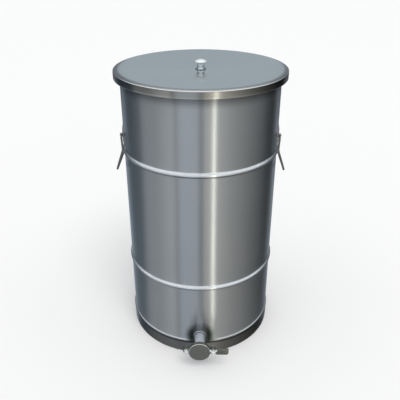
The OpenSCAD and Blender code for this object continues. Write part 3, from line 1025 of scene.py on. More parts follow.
@dataclass
class Lid:
    """The spun lid: dished top, rolled edge, rim with a folded hem. Sizes in mm, turns in degrees."""

    radius: float = 215.2
    sheet: float = 1.0
    top: float = 748.07
    height: float = 19.5
    rim_row: float = 6.0
    hem: float = 5.0
    hem_turn: float = 350.0
    hole_r: float = 2.6
    middle_r: float = 30.0
    dish: float = 6.0
    dish_soft: float = 12.0
    dish_gap: float = 6.0
    dish_rows: tuple[tuple[float, int], tuple[float, float, int]] = ((60.0, 12), (54.0, 8.0, 12))
    corner_r: float = 1.5
    corner_gap: float = 0.8
    corner_trim: float = 6.0
    roll_r: float = 54.0
    roll_turn: float = 15.0
    steps_round: int = 256

    def _dish(self, ridge_r: float) -> Points:
        """The top from the roll inwards: flat in the middle, then a cone, with a hyperbola between them.

        Args:
            ridge_r: Radius of the highest ring.

        Returns:
            The outline, from the roll to the hole in the middle.
        """
        outer, inner = self.dish_rows
        radius = np.concatenate((np.linspace(ridge_r - self.dish_gap, *outer), np.linspace(*inner),
                                 (self.hole_r,)))
        past = radius - self.middle_r
        rise = self.dish / (ridge_r - self.middle_r) * (past + np.hypot(past, self.dish_soft)) / 2
        return columns(radius, self.top - self.dish + rise)

    def build(self) -> None:
        """Turns the section: rim, corner, roll and dish outside, and the same back inside with the hem."""
        tilt = math.radians(self.roll_turn)
        inner_roll = self.roll_r - self.corner_r
        corner_x = self.radius - self.corner_r
        roll = (corner_x - inner_roll * math.sin(tilt), self.top - self.roll_r)
        corner = (corner_x, roll[1] + inner_roll * math.cos(tilt))
        slope = math.degrees(math.atan2(self.dish, roll[0] - self.middle_r))
        edge, low, side = 90 - self.roll_turn, self.top - self.height, self.radius - self.sheet
        dish = self._dish(roll[0])
        section = chain(
            wall(self.radius, (low + self.sheet, low + self.rim_row, corner[1] - self.corner_gap)),
            arc(corner, self.corner_r, 0, edge - self.corner_trim, steps=8),
            arc(roll, self.roll_r, edge, 90 + slope, steps=14),
            dish,
            (dish - (0.0, self.sheet))[::-1],
            arc(roll, self.roll_r - self.sheet, 90 + slope, edge, steps=14),
            arc(corner, self.corner_r - self.sheet, edge - self.corner_trim, 0, steps=6),
            [(side, low + self.hem), (side - self.sheet, low + self.hem)],
            arc((side, low + self.sheet), self.sheet, 180, self.hem_turn, steps=8))
        skin = Skin().grid(turned(section, full_turn(self.steps_round)), rows_close=True, cols_close=True)
        add_piece("lid_cover", skin, "lid", "lid_steel", ("lid_pan",))


@dataclass
class Knob:
    """The turned knob of the lid: flared stem, undercut and domed head. Sizes in mm."""

    low: float = 743.27
    under: float = 758.97
    band_top: float = 761.17
    band_gap: float = 0.7
    top: float = 765.77
    head_r: float = 15.0
    head_in: float = 1.2
    lip_r: float = 1.0
    dome_share: float = 0.97
    stem_r: float = 8.75
    flare: float = 1.0
    steps_round: int = 96

    def build(self) -> None:
        """Turns two outlines, the stem and the domed head.

        The stem's radius is its waist plus the flare times the fourth power of the height from its
        middle. The dome is an arc through its top and its band.
        """
        dome_h = self.top - self.band_top
        dome_r = (self.head_r ** 2 + dome_h ** 2) / (2 * dome_h)
        dome_turn = math.degrees(math.asin(self.head_r / dome_r)) * self.dome_share
        rise = np.linspace(-1.0, 1.0, 15)
        middle, half = (self.low + self.under) / 2, (self.under - self.low) / 2
        waist = columns(self.stem_r + self.flare * rise ** 4, middle + half * rise)
        stem = chain((0.0, self.low), waist, (0.0, self.under))
        head = chain(
            (0.0, self.under), (self.head_r - self.head_in, self.under),
            arc((self.head_r - self.lip_r, self.under + self.lip_r), self.lip_r, -80, 0, steps=6),
            wall(self.head_r, self.band_top - self.band_gap),
            arc((0.0, self.top - dome_r), dome_r, 90 - dome_turn, 90, steps=16))
        # The head's paler finish paints in the highlight from the light above.
        for name, outline, finish in (("knob_stem", stem, ""), ("knob_head", head, "knob_head")):
            skin = Skin().grid(turned(outline, full_turn(self.steps_round)), rows_close=True)
            add_piece(name, skin, "lid", "knob_chrome", ("lid_knob",), finish=finish)


class Side(Enum):
    """The two sides that carry a handle, as the sign of X."""

    LEFT = -1.0
    RIGHT = 1.0


@dataclass
class Handle:
    """A drop handle: a bent rod in two eyes on a welded plate. Sizes in mm, turns in degrees."""

    side: Side
    pivot_x: float = 199.6585
    pivot_z: float = 587.0
    rod_r: float = 2.5
    rod_chamfer: float = 0.8
    leg_y: float = 56.0
    pin_y: float = 43.0
    pin_gap: float = 1.0
    elbow_r: float = 6.0
    leg_gap: float = 3.0
    drop: float = 37.5
    kink: float = 21.0
    knee: float = 5.0
    lean: float = 2.5
    reach: float = 48.0
    reach_gaps: Pair = (8.0, 3.0)
    grip_corner_r: float = 12.0
    grip_gap: float = 4.0
    plate_r: float = 200.05
    plate_t: float = 1.45
    plate_half_w: float = 54.0
    plate_low: float = 555.0
    plate_high: float = 605.0
    plate_cut: float = 6.0
    plate_edge: float = 0.7
    pressed: float = 1.3
    pressed_half_w: float = 40.0
    pressed_gap: float = 2.0
    pressed_fade: float = 8.0
    spot_across: Triple = (-32.0, 0.0, 32.0)
    spot_up: Pair = (-16.0, 16.0)
    spot_depth: float = 0.35
    spot_spread: float = 6.0
    lug_r: float = 4.8
    lug_root: Pair = (-4.4, 4.7)
    lug_turn: float = 88.0
    lug_edge: float = 0.6
    lug_span: Pair = (44.0, 48.0)

    @property
    def name(self) -> str:
        """The side's word in the names of pieces and solids."""
        return self.side.name.lower()

    def _half_path(self) -> Points:
        """Pin, elbow, leg, kink, grip corner and half the grip.

        The kink is a parabola between two straight runs. The lower run is laid out flat and turned out by
        the kink, and the whole path then leans towards the tank: a turn in the plane of out and up.

        Returns:
            Points as out, along and up from the pivot.
        """
        kink, lean = math.radians(self.kink), math.radians(self.lean)
        corner_y, knee = self.leg_y - self.grip_corner_r, self.knee
        pin = np.linspace(self.pin_y, self.leg_y - self.elbow_r - self.pin_gap, 5)
        elbow = arc((self.leg_y - self.elbow_r, -self.elbow_r), self.elbow_r, 90, 0, steps=8)
        leg = np.linspace(-self.elbow_r - self.leg_gap, knee - self.drop, 6)
        bend = np.linspace(0.0, 1.0, 7)[1:]
        knee_up = -self.drop + knee * (1 - bend) ** 2 - knee * math.cos(kink) * bend ** 2
        lower = chain(
            columns(self.leg_y, np.linspace(self.reach_gaps[0], self.reach - self.reach_gaps[1], 5)),
            arc((corner_y, self.reach), self.grip_corner_r, 0, 90, steps=10),
            columns(np.linspace(corner_y - self.grip_gap, 0.0, 6), self.reach + self.grip_corner_r))
        out, along, up = chain(
            columns(0.0, pin, 0.0),
            columns(0.0, elbow[:, 0], elbow[:, 1]),
            columns(0.0, self.leg_y, leg),
            columns(knee * math.sin(kink) * bend ** 2, self.leg_y, knee_up),
            columns(lower[:, 1] * math.sin(kink), lower[:, 0], -self.drop - lower[:, 1] * math.cos(kink))).T
        return columns(out * math.cos(lean) + up * math.sin(lean), along,
                       up * math.cos(lean) - out * math.sin(lean))

    def rod(self) -> None:
        """Carries a circle along the half path and its mirror, with chamfered ends."""
        mirror = np.array([1.0, -1.0, 1.0])
        half = self._half_path()
        path = chain(half, (half * mirror)[-2::-1])
        ends = path[0] + columns(0.0, np.array([0.0, 0.02, self.rod_chamfer]), 0.0)
        path = chain(ends, path[1:-1], (ends * mirror)[::-1])
        radii = np.full(len(path), self.rod_r)
        radii[[0, -1]] = 0.0
        radii[[1, -2]] = self.rod_r - self.rod_chamfer
        sign = self.side.value
        path = path * np.array([sign, 1.0, 1.0]) + np.array([sign * self.pivot_x, 0.0, self.pivot_z])
        skin = Skin().grid(tube(path, radii, sides=24, aside=(1.0, 0.0, 0.0)), rows_close=True)
        bail = f"{self.name}_bail"
        add_piece(f"{self.name}_bail_rod", skin, bail, "rod_steel", (bail,), sharp=40)

    def _placed(self, points: Points) -> Points:
        """Takes points of the right-hand handle to this side by half a turn about the tank axis."""
        return points * np.array([self.side.value, self.side.value, 1.0])

    def _at_pivot(self, points: Points) -> Points:
        """Takes an eye's coordinates (out, up, and along the pivot) to the tank's."""
        across, up, along = np.moveaxis(points, -1, 0)
        return self._placed(np.stack((across + self.pivot_x, -along, up + self.pivot_z), axis=-1))

    def _plate_layout(self) -> tuple[Points, Points, Points, Points]:
        """Where the plate's points lie, with rows and columns close together along the rounded edges.

        A row's half width is less by how far the row lies past the cut corner.

        Returns:
            Each point's place across and up from the plate's middle, and its distance from the edge
            beside it and from the edge above or below it.
        """
        edge = self.plate_edge
        near = np.concatenate(((0.0,), edge * (1 - np.cos(np.radians(np.linspace(0, 90, 6))))))
        half_h = (self.plate_high - self.plate_low) / 2
        gap = np.concatenate((near, np.linspace(edge, half_h, 22)[1:-1]))
        row_gap = np.concatenate((gap, (half_h,), gap[::-1]))[:, None]
        up = np.concatenate((gap - half_h, (0.0,), (half_h - gap)[::-1]))[:, None]
        half_w = self.plate_half_w - np.maximum(0.0, np.abs(up) - (half_h - self.plate_cut))
        inner = edge + (half_w - edge) * np.linspace(0.0, 1.0, 66)[None, 1:-1]
        gap = np.concatenate((np.broadcast_to(near, (len(up), len(near))), inner), axis=1)
        across = np.concatenate((gap - half_w, np.zeros_like(half_w), (half_w - gap)[:, ::-1]), axis=1)
        col_gap = np.concatenate((gap, half_w, gap[:, ::-1]), axis=1)
        return tuple(np.broadcast_arrays(across, up, col_gap, row_gap))

    def _plate_grid(self) -> tuple[Points, Points]:
        """The plate's front and back.

        The height is the thickness less the edge radius, plus the root of the edge radius squared less
        the squares of how far a point is short of that radius from each edge. The middle is pressed out
        along a smooth step, the welded spots are bell-shaped dents, and the rim lies on the back.

        Returns:
            Both faces of the right-hand plate, rolled on the shell.
        """
        across, up, col_gap, row_gap = self._plate_layout()
        edge = self.plate_edge
        short = np.maximum(0.0, edge - col_gap) ** 2 + np.maximum(0.0, edge - row_gap) ** 2
        height = self.plate_t - edge + np.sqrt(np.maximum(0.0, edge ** 2 - short))
        rise = (np.clip((self.pressed_half_w - np.abs(across)) / self.pressed_fade, 0.0, 1.0)
                * np.clip((row_gap - self.pressed_gap) / self.pressed_fade, 0.0, 1.0))
        height += self.pressed * rise ** 2 * (3.0 - 2.0 * rise)
        for spot_y, spot_z in product(self.spot_across, self.spot_up):
            apart = (across - spot_y) ** 2 + (up - spot_z) ** 2
            height -= self.spot_depth * np.exp(-apart / self.spot_spread)
        height[[0, -1], :] = 0.0
        height[:, [0, -1]] = 0.0
        level = up + (self.plate_high + self.plate_low) / 2
        front, back = (np.stack((np.sqrt((self.plate_r + lift) ** 2 - across ** 2), across, level), axis=-1)
                       for lift in (height, 0.0))
        return front, back

    def plate(self) -> None:
        """Builds the plate and its two eyes."""
        front, back = self._plate_grid()
        skin = Skin().grid(self._placed(front.transpose(1, 0, 2))).grid(self._placed(back))
        root_x, root_y = self.lug_root
        outline = chain(arc((0.0, 0.0), self.lug_r, -self.lug_turn, self.lug_turn, steps=20),
                        (root_x, root_y), (root_x, -root_y))
        for low, high in (self.lug_span, (-self.lug_span[1], -self.lug_span[0])):
            skin.slab(outline, low, high, self.lug_edge, self._at_pivot)
        add_piece(f"{self.name}_welded_plate", skin, "tank", "plate_steel", (f"{self.name}_handle_plate",))

    def build(self) -> None:
        """Builds the plate and the rod."""
        self.plate()
        self.rod()


@dataclass
class Outlet:
    """The outlet pipe and the welded collar where it leaves the shell. Sizes in mm."""

    pipe_r: float = 13.0
    bore_r: float = 11.5
    start: float = 196.0
    end: float = 256.0
    chamfer: float = 0.3
    pipe_rows: Pair = (210.0, 232.0)
    bore_row: float = 220.0
    pipe_steps: int = 96
    shell_r: float = 200.05
    collar_r: float = 16.5
    collar_bore: float = 13.05
    collar_top: float = 204.5
    collar_lip: float = 1.1
    collar_steps: int = 128
    ripple: float = 0.35
    ripples: float = 40.0
    seam_top: float = 44.55

    def pipe(self) -> None:
        """Turns the pipe's section about the outlet axis."""
        cut, start, end = self.chamfer, self.start, self.end
        section = chain(
            (self.pipe_r - cut, start), wall(self.pipe_r, (start + cut, *self.pipe_rows, end - cut)),
            (self.pipe_r - cut, end), (self.bore_r + cut, end),
            wall(self.bore_r, (end - cut, self.bore_row, start + cut)), (self.bore_r + cut, start))
        grid = at_outlet(turned(section, full_turn(self.pipe_steps)))
        skin = Skin().grid(grid, rows_close=True, cols_close=True)
        add_piece("neck_pipe", skin, "tank", "neck_steel", ("outlet_neck",))

    def collar(self) -> None:
        """A weld fillet between the shell and the pipe.

        Round the outlet axis its section is a quarter ellipse from the foot to the lip. The height of a
        point is the shell's own, the root of the shell radius squared less the side step squared, plus
        the sine of the quarter turn times what is left to the lip. A ripple runs round the foot, and
        nothing goes below the top of the seam bead.
        """
        turn = full_turn(self.collar_steps)
        quarter = np.radians(np.linspace(0.0, 90.0, 9))
        lip = self.collar_bore + self.collar_lip
        radius = np.pad(lip + (self.collar_r - lip) * np.cos(quarter), 1, constant_values=self.collar_bore)
        share = np.concatenate(((0.0,), np.sin(quarter), (1.0,)))
        ripple = np.pad(self.ripple * np.cos(quarter), 1)
        reach = radius[None, :] + np.cos(turn * self.ripples)[:, None] * ripple[None, :]
        across = reach * np.cos(turn)[:, None]
        up = np.maximum(reach * np.sin(turn)[:, None], self.seam_top - OUTLET_Z)
        foot = np.sqrt(self.shell_r ** 2 - across ** 2)
        level = foot + (self.collar_top - foot) * share[None, :]
        grid = at_outlet(np.stack((across, up, level), axis=-1))
        skin = Skin().grid(grid, rows_close=True, cols_close=True)
        add_piece("neck_weld_collar", skin, "tank", "neck_steel", ("neck_collar",),
                  sharp=50, finish="weld_collar")

    def build(self) -> None:
        """Builds the pipe and the collar."""
        self.pipe()
        self.collar()


@dataclass
class Gate:
    """The swinging gate with its bolts and nuts, in outlet coordinates. Sizes in mm, turns in degrees."""

    pivot: Pair = (-35.5, 2.0)
    stud: Pair = (36.5, 2.0)
    blade_r: float = 29.0
    blade_back: float = 256.3
    blade_front: float = 264.3
    back_edge: float = 0.5
    front_edge: float = 1.4
    rim_gaps: Pair = (1.5, 2.2)
    face_rows: Pair = (26.0, 12.0)
    lever_front: float = 260.8
    lever_edge: float = 0.7
    ear_r: float = 8.5
    ear_web: float = 8.0
    tab_reach: float = 77.0
    tab_up: float = 8.5
    tab_down: float = -11.0
    tab_low_r: float = 7.0
    tab_high_r: float = 3.0
    notch_half: float = 3.3
    notch_r: float = 3.45
    notch_turn: float = 16.0
    notch_ends: Pair = (-2.2, -1.6)
    head_back: float = 247.0
    flange_back: float = 251.0
    across_flats: float = 10.0
    hex_face: float = 0.93
    hex_slope: float = 0.55
    bolt_r: float = 3.0
    pitch: float = 1.0
    thread_depth: float = 0.28
    thread_taper: float = 0.8
    thread_rows: float = 8.0
    thread_lap: float = 1.0
    nut_back: float = 262.3
    nut_front: float = 267.3
    pivot_end: float = 268.3
    stud_end: float = 271.3
    hub_r: float = 5.5
    hub_front: float = 269.7
    hub_edge: float = 1.0
    hub_gap: float = 1.6
    hub_chamfer: float = 0.5
    bore_chamfer: float = 0.6
    wing_back: float = 265.2
    wing_root: float = 6.4
    wing_reach: float = 13.5
    wing_w: float = 3.8
    wing_tip_r: float = 2.3
    wing_edge: float = 1.8
    wing_gap: float = 0.1
    wing_lap: float = 8.0

    def disc(self) -> None:
        """Turns the round part of the blade, with a rounded rim."""
        back, front, edge = self.blade_back, self.blade_front, self.front_edge
        outline = chain(
            (0.0, back), (self.blade_r - self.back_edge, back),
            wall(self.blade_r, (back + self.back_edge, back + self.rim_gaps[0], front - self.rim_gaps[1])),
            arc((self.blade_r - edge, front - edge), edge, 0, 90, steps=7),
            *((radius, front) for radius in (*self.face_rows, 0.0)))
        skin = Skin().grid(at_outlet(turned(outline, full_turn(steps=160))), rows_close=True)
        add_piece("blade_disc", skin, "gate_blade", "gate_steel", ("gate_blade",), finish="blade_disc")

    def lever(self) -> None:
        """The flat ears and tab of the blade: arcs and straight runs, with the notch for the stud.

        The notch's sides are arcs about the pivot, so that the blade swings off the stud.
        """
        ear_y = self.stud[1]
        swing = self.stud[0] - self.pivot[0]
        near, far = swing - self.notch_half, swing + self.notch_half
        near_low, far_low = (math.degrees(math.asin((self.tab_down - ear_y) / r)) for r in (near, far))
        ear_turn = math.degrees(math.asin((self.tab_up - ear_y) / self.ear_r))
        web_turn = math.degrees(math.asin(self.ear_web / self.ear_r))
        low_r, high_r = self.tab_low_r, self.tab_high_r
        outline = chain(
            (0.0, self.tab_down), arc(self.pivot, near, near_low, self.notch_ends[0], steps=6),
            arc(self.stud, self.notch_r, 180 + self.notch_turn, -self.notch_turn, steps=14),
            arc(self.pivot, far, self.notch_ends[1], far_low, steps=6),
            arc((self.tab_reach - low_r, self.tab_down + low_r), low_r, -90, 0, steps=10),
            arc((self.tab_reach - high_r, self.tab_up - high_r), high_r, 0, 90, steps=6),
            arc(self.stud, self.ear_r, ear_turn, 180 - ear_turn, steps=14), (0.0, self.tab_up),
            (0.0, self.pivot[1] + self.ear_web),
            arc(self.pivot, self.ear_r, web_turn, 360 - web_turn, steps=24),
            (0.0, self.pivot[1] - self.ear_web))
        skin = Skin().slab(outline, self.blade_back, self.lever_front, self.lever_edge, at_outlet)
        add_piece("blade_lever", skin, "gate_blade", "gate_steel", ("gate_blade",))

    def _hex(self, skin: Skin, middle: Pair, low: float, high: float, bore: float) -> None:
        """Adds a hexagon with both faces chamfered.

        Its radius is half the width across flats over the cosine of the angle from the nearest flat's
        middle, and each face falls by a share of how far that radius passes the face's own circle.

        Args:
            skin: Surface that the hexagon goes into.
            middle: Its centre.
            low: Its lower face.
            high: Its upper face.
            bore: Radius of its hole, or 0.
        """
        turn = full_turn(steps=144)
        flat = self.across_flats / 2
        face = flat * self.hex_face
        radius = flat / np.cos(np.mod(turn, np.pi / 3) - np.pi / 6)
        drop = (radius - face) * self.hex_slope
        reach = columns(bore, face, radius, radius, face, bore)
        height = columns(low, low, low + drop, high - drop, high, high)
        points = swept(reach, height, turn) + np.array([*middle, 0.0])
        skin.grid(at_outlet(points), rows_close=True, cols_close=bore > 0)

    def _thread(self, skin: Skin, middle: Pair, low: float, high: float) -> None:
        """Adds a threaded shank with a tapered end.

        Its radius is the bolt's less the thread's depth, plus that depth times the cosine of the height
        over the pitch in turns less the angle, and no more than the taper's.

        Args:
            skin: Surface that the shank goes into.
            middle: Its centre.
            low: Its lower end.
            high: Its upper end.
        """
        turn = full_turn(steps=48)
        rise = np.linspace(low, high, int((high - low) * self.thread_rows) + 1)
        wave = np.cos(2 * np.pi * rise[None, :] / self.pitch - turn[:, None])
        taper = np.minimum(self.bolt_r, self.bolt_r - self.thread_taper + (high - rise))[None, :]
        radius = np.minimum(self.bolt_r - self.thread_depth + self.thread_depth * wave, taper)
        radius = np.pad(radius, ((0, 0), (1, 1)))
        points = swept(radius, np.pad(rise, 1, mode="edge")[None, :], turn) + np.array([*middle, 0.0])
        skin.grid(at_outlet(points), rows_close=True)

    def bolts(self) -> None:
        """The pivot bolt with its nut, and the clamp stud."""
        for name, node, middle, end in (("pivot_bolt_threaded", "pivot_bolt", self.pivot, self.pivot_end),
                                        ("clamp_stud_threaded", "clamp_stud", self.stud, self.stud_end)):
            skin = Skin()
            self._hex(skin, middle, self.head_back, self.flange_back, 0.0)
            self._thread(skin, middle, self.flange_back - self.thread_lap, end)
            add_piece(name, skin, "tank", "fastener_steel", (node,))
        skin = Skin()
        self._hex(skin, self.pivot, self.nut_back, self.nut_front, self.bolt_r)
        add_piece("pivot_hex_nut", skin, "tank", "fastener_steel", ("pivot_nut",))

    def _wings(self) -> Points:
        """The outline of the four wings: one arm with a round tip, turned to each diagonal.

        Returns:
            Points about the stud's axis, counter-clockwise.
        """
        half, centre = self.wing_w / 2, (0.0, 0.0)
        tip = 180 - math.degrees(math.asin(half / self.wing_tip_r))
        hub = math.degrees(math.asin(half / self.hub_r))
        x, y = chain(
            arc(centre, self.hub_r, -hub - self.wing_lap, -hub, steps=2), (self.wing_root, -half),
            arc((self.wing_reach - self.wing_tip_r, 0.0), self.wing_tip_r, -tip, tip, steps=18),
            (self.wing_root, half), arc(centre, self.hub_r, hub, hub + self.wing_lap, steps=2)).T
        lean = np.radians(45.0 + 90.0 * np.arange(4))[:, None]
        cross = np.stack((x * np.cos(lean) - y * np.sin(lean), x * np.sin(lean) + y * np.cos(lean)), axis=-1)
        return cross.reshape(-1, 2)

    def hand_nut(self) -> None:
        """The nut with four wings: a turned hub, and a cross of straight arms with round tips."""
        back, front, edge = self.nut_back, self.hub_front, self.hub_edge
        outline = self._wings() + np.array(self.stud)
        skin = Skin().slab(outline, self.wing_back, front - self.wing_gap, self.wing_edge, at_outlet)
        section = chain(
            (self.bolt_r, back), (self.hub_r - self.hub_chamfer, back),
            wall(self.hub_r, (back + self.hub_chamfer, front - self.hub_gap)),
            arc((self.hub_r - edge, front - edge), edge, 0, 90, steps=5),
            (self.bolt_r + self.bore_chamfer, front), (self.bolt_r, front - self.bore_chamfer))
        hub = turned(section, full_turn(steps=64)) + np.array([*self.stud, 0.0])
        skin.grid(at_outlet(hub), rows_close=True, cols_close=True)
        # The nut's near-white finish paints in the glints on its wings.
        add_piece("winged_hand_nut", skin, "hand_nut", "knob_chrome", ("hand_nut",), finish="hand_nut")

    def build(self) -> None:
        """Builds the blade, the bolts and the hand nut."""
        self.disc()
        self.lever()
        self.bolts()
        self.hand_nut()


def dress_solids() -> None:
    """Gives each solid that still shows the finish of its material slot."""
    for row in frame["record"]["subparts"]:
        solid = frame["nodes"][row["node"]]
        if solid.hide_render:
            continue
        finish = FINISHES[row["material_slot"]].material()
        for place in solid.material_slots:
            place.material = finish
        if not solid.material_slots:
            solid.data.materials.append(finish)
        LOG.info("%s: solid kept, finish %s", row["node"], finish.name)


# Studio and camera


@dataclass(frozen=True)
class Panel:
    """A wall of the studio that the steel mirrors, between two bearings, with a soft edge on each side.

    Bearings are in degrees from the front, to the right. A mirrored panel is on both sides.
    """

    left: float
    left_fade: float
    right: float
    right_fade: float
    colour: Colour
    mirrored: bool = False


class Along(Enum):
    """What a step in the studio's light goes by."""

    HEIGHT = "height of the direction, from -1 straight down to 1 straight up"
    BEARING = "degrees from the front, to either side"


@dataclass(frozen=True)
class Step:
    """A smooth step in the studio's light: from one share to another, between two places."""

    along: Along
    start: float
    end: float
    before: float = 0.0
    after: float = 1.0


def upwards(*step: float) -> Step:
    """A step by height: start, end, and the shares before and after it."""
    return Step(Along.HEIGHT, *step)


def sideways(*step: float) -> Step:
    """A step by bearing: start, end, and the shares before and after it."""
    return Step(Along.BEARING, *step)


Mask = tuple[tuple[Step, ...], ...]
NOT_BEHIND = sideways(140.0, 152.0, 1.0, 0.0)


@dataclass(frozen=True)
class Glow:
    """A region of the studio with its own light: a mask, less what a second mask takes out of it."""

    colour: Colour | Socket
    mask: Mask
    less: Mask = ()


@dataclass
class Studio:
    """Floor, backdrop, walls, sky and sun. Sizes in metres, turns in degrees."""

    floor_rows: tuple[float, ...] = (20.0, 8.0, 2.0, 0.5, 0.0)
    floor_colour: Colour = (0.93, 0.91, 0.895)
    floor_roughness: float = 0.9
    floor_specular: float = 0.1
    backdrop_colour: Colour = (0.93, 0.93, 0.93)
    backdrop_low: float = -2.0
    room: Colour = (0.03, 0.033, 0.033)
    panels: tuple[Panel, ...] = (
        Panel(-170, 15, -95, 10, (0.075, 0.11, 0.145)),
        Panel(-90, 8, -38, 5, (0.415, 0.44, 0.465)),
        Panel(-51, 18, -41, 5, (0.23, 0.24, 0.25)),
        Panel(-31, 5, -5, 9, (0.575, 0.645, 0.725)),
        Panel(7.5, 6.5, 20, 80, (0.72, 0.72, 0.685)),
        Panel(98, 12, 106, 8, (0.05, 0.05, 0.05)),
        Panel(19.2, 1.5, 20.8, 1.5, (3.4, 3.4, 2.85)),
        Panel(146, 14, 180, 10, (0.44, 0.5, 0.57), mirrored=True),
    )
    walls_level: Mask = ((upwards(-0.4, -0.27, 1.0, 0.7),),)
    walls_less: Mask = (
        (sideways(30, 75, 0.0, 0.62), upwards(-0.3, -0.26)),
        (sideways(20, 50, 0.0, 0.8), upwards(-0.24, -0.228)),
    )
    nadir: Glow = Glow((0.03, 0.03, 0.03), ((upwards(-0.92, -0.62, 1.0, 0.0),),))
    sky: tuple[tuple[float, Colour], ...] = (
        (0.0, (0.3, 0.33, 0.36)), (0.5, (0.5, 0.56, 0.6)),
        (0.8, (0.95, 0.97, 0.98)), (1.0, (1.15, 1.15, 1.15)))
    sky_mask: Mask = (
        (upwards(-0.05, 0.1, 0.0, 0.35), NOT_BEHIND),
        (upwards(0.3, 0.38, 0.0, 0.85), NOT_BEHIND),
        (upwards(0.3, 0.6),),
    )
    back_wall: Glow = Glow(
        (0.19, 0.21, 0.24),
        ((sideways(150, 160), upwards(-0.12, -0.02), upwards(0.35, 0.55, 1.0, 0.0)),))
    back_door: Glow = Glow(
        (0.46, 0.54, 0.59),
        ((sideways(166, 172), upwards(-0.45, -0.35), upwards(0.35, 0.45, 1.0, 0.0)),))
    front_band: Glow = Glow(
        (1.25, 1.31, 1.37),
        ((upwards(0.02, 0.14), upwards(0.4, 0.55, 1.0, 0.0), sideways(85, 125, 1.0, 0.0)),),
        less=((upwards(0.14, 0.18), upwards(0.27, 0.31, 1.0, 0.0), sideways(24, 48, 0.6, 0.95)),))
    front_gap: Glow = Glow(
        (0.03, 0.03, 0.03),
        ((upwards(0.38, 0.5), upwards(0.86, 0.94, 1.0, 0.0), sideways(25, 50, 0.3, 0.0)),))
    sun_strength: float = 0.9
    sun_angle: float = 30.0
    sun_tilt: float = 28.0
    sun_turn: float = 20.0

    def _share(self, graph: Graph, where: dict[Along, Socket], mask: Mask, less: Mask = ()) -> Socket:
        """The greatest product of the steps in a mask's rows, times what a second mask leaves.

        Args:
            graph: Tree of the world.
            where: The direction's height and bearing.
            mask: Rows of steps.
            less: Rows of steps that are taken out.

        Returns:
            The share.
        """
        rows = [graph.chained("MULTIPLY", *(
            graph.remap(where[step.along], step.start, step.end, step.before, step.after, smooth=True)
            for step in row)) for row in mask]
        share = graph.chained("MAXIMUM", *rows)
        if not less:
            return share
        left = graph.calc("SUBTRACT", 1.0, self._share(graph, where, less))
        return graph.calc("MULTIPLY", share, left)

    def _walls(self, graph: Graph, bearing: Socket) -> Socket:
        """The room's own level plus every panel times how far a bearing lies inside it.

        Args:
            graph: Tree of the world.
            bearing: Degrees from the front, to the right.

        Returns:
            The colour of the walls.
        """
        total = graph.joined(*self.room)
        for panel in self.panels:
            place = graph.calc("ABSOLUTE", bearing) if panel.mirrored else bearing
            inside = graph.band(place, panel.left - panel.left_fade, panel.left,
                                panel.right, panel.right + panel.right_fade)
            lit = graph.scaled(panel.colour, inside)
            total = graph.node("ShaderNodeVectorMath", total, lit, operation="ADD").outputs[0]
        return total

    def _sky(self, graph: Graph, height: Socket) -> Socket:
        """The sky's colour at a height.

        Args:
            graph: Tree of the world.
            height: Height of the direction.

        Returns:
            The colour.
        """
        ramp = graph.node("ShaderNodeValToRGB", height)
        stops = ramp.color_ramp.elements
        for place, (level, colour) in enumerate(self.sky):
            stop = stops[place] if place < 2 else stops.new(level)
            stop.position = level
            stop.color = (*colour, 1.0)
        return ramp.outputs[0]

    def _world(self) -> None:
        """Lights the scene all round: walls, the sky over them, and regions with a light of their own."""
        world = bpy.data.worlds.new("studio")
        bpy.context.scene.world = world
        world.use_nodes = True
        graph = Graph(world.node_tree)
        x, y, z = graph.parts(graph.node("ShaderNodeTexCoord").outputs["Generated"])
        turn = graph.calc("ARCTAN2", x, graph.calc("MULTIPLY", y, -1.0))
        bearing = graph.calc("MULTIPLY", turn, 180.0 / math.pi)
        where = {Along.HEIGHT: z, Along.BEARING: graph.calc("ABSOLUTE", bearing)}
        level = self._share(graph, where, self.walls_level, self.walls_less)
        shown = graph.scaled(self._walls(graph, bearing), level)
        sky = Glow(self._sky(graph, z), self.sky_mask)
        for glow in (self.nadir, sky, self.back_wall, self.back_door, self.front_band, self.front_gap):
            shown = graph.mix(self._share(graph, where, glow.mask, glow.less), shown, glow.colour)
        graph.feed(world.node_tree.nodes["Background"].inputs["Color"], shown)

    def _sun(self) -> None:
        """Adds a wide soft sun that gives the floor its shadow and doesn't show in the steel."""
        lamp = bpy.data.lights.new("soft_sun", "SUN")
        lamp.energy = self.sun_strength
        lamp.angle = math.radians(self.sun_angle)
        sun = add_object("soft_sun", lamp)
        sun.rotation_euler = (math.radians(self.sun_tilt), 0.0, math.radians(self.sun_turn))
        sun.visible_glossy = False

    def _stage_part(self, name: str, skin: Skin, hidden: tuple[str, ...]) -> bpy.types.NodeTree:
        """Adds a part of the stage with a plain material.

        Args:
            name: Name of the part.
            skin: Its surface.
            hidden: The kinds of ray that don't see it.

        Returns:
            The node tree of its material.
        """
        thing = add_object(name, skin.mesh(name, sharp=30))
        plain = bpy.data.materials.new(f"pale_{name}")
        plain.use_nodes = True
        thing.data.materials.append(plain)
        for ray in hidden:
            setattr(thing, f"visible_{ray}", False)
        return plain.node_tree

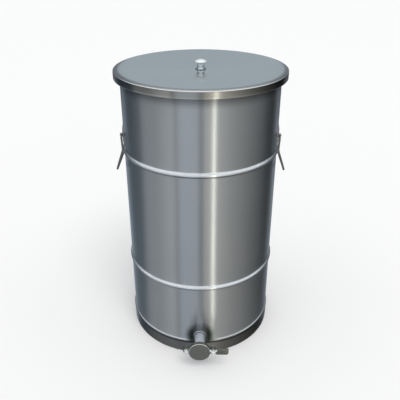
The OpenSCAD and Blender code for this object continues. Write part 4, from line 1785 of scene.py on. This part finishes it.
    def _floor(self) -> None:
        """Adds a pale round floor."""
        disc = columns(np.array(self.floor_rows) / MM, 0.0)
        skin = Skin().grid(turned(disc, full_turn(steps=96)), rows_close=True)
        shader = self._stage_part("floor", skin, ("glossy",)).nodes["Principled BSDF"]
        shader.inputs["Base Color"].default_value = (*self.floor_colour, 1.0)
        shader.inputs["Roughness"].default_value = self.floor_roughness
        shader.inputs["Specular IOR Level"].default_value = self.floor_specular

    def _backdrop(self) -> None:
        """Adds a pale dome for views that look past the floor's edge, seen by the camera alone."""
        dome = arc((0.0, 0.0), self.floor_rows[0] / MM, self.backdrop_low, 90, steps=24)
        skin = Skin().grid(turned(dome, full_turn(steps=64)), rows_close=True)
        graph = Graph(self._stage_part(
            "backdrop", skin, ("diffuse", "glossy", "transmission", "volume_scatter", "shadow")))
        shine = graph.node("ShaderNodeEmission", (*self.backdrop_colour, 1.0))
        graph.feed(graph.tree.nodes["Material Output"].inputs["Surface"], shine.outputs[0])

    def build(self) -> None:
        """Sets up the light and the stage."""
        self._world()
        self._sun()
        self._floor()
        self._backdrop()


@dataclass
class Viewpoint:
    """The camera, by its place round the tank axis. Sizes in metres, turns in degrees, lens in mm."""

    bearing: float = 0.6
    distance: float = 1.2447
    height: float = 1.0405
    down: float = 28.11
    aside: float = 0.084
    lens: float = 45.225
    sensor: float = 36.0

    def build(self) -> None:
        """Adds the camera, turned to the tank axis and pitched down."""
        lens = bpy.data.cameras.new("camera")
        lens.sensor_width = self.sensor
        lens.lens = self.lens
        camera = add_object("camera", lens)
        turn = math.radians(self.bearing)
        camera.location = (self.distance * math.sin(turn), -self.distance * math.cos(turn), self.height)
        camera.rotation_euler = (math.radians(90 - self.down), 0.0, turn + math.radians(self.aside))
        bpy.context.scene.camera = camera


def main() -> None:
    """Builds the camera, the tank and the studio in order."""
    logging.basicConfig(level=logging.INFO, format="%(name)s: %(message)s")
    bpy.context.scene.view_settings.view_transform = "Standard"
    Viewpoint().build()
    for part in (Shell(), BaseRing(), Lid(), Knob(), Handle(Side.LEFT), Handle(Side.RIGHT), Outlet(),
                 Gate()):
        part.build()
    dress_solids()
    Studio().build()


if __name__ == "__main__":
    main()
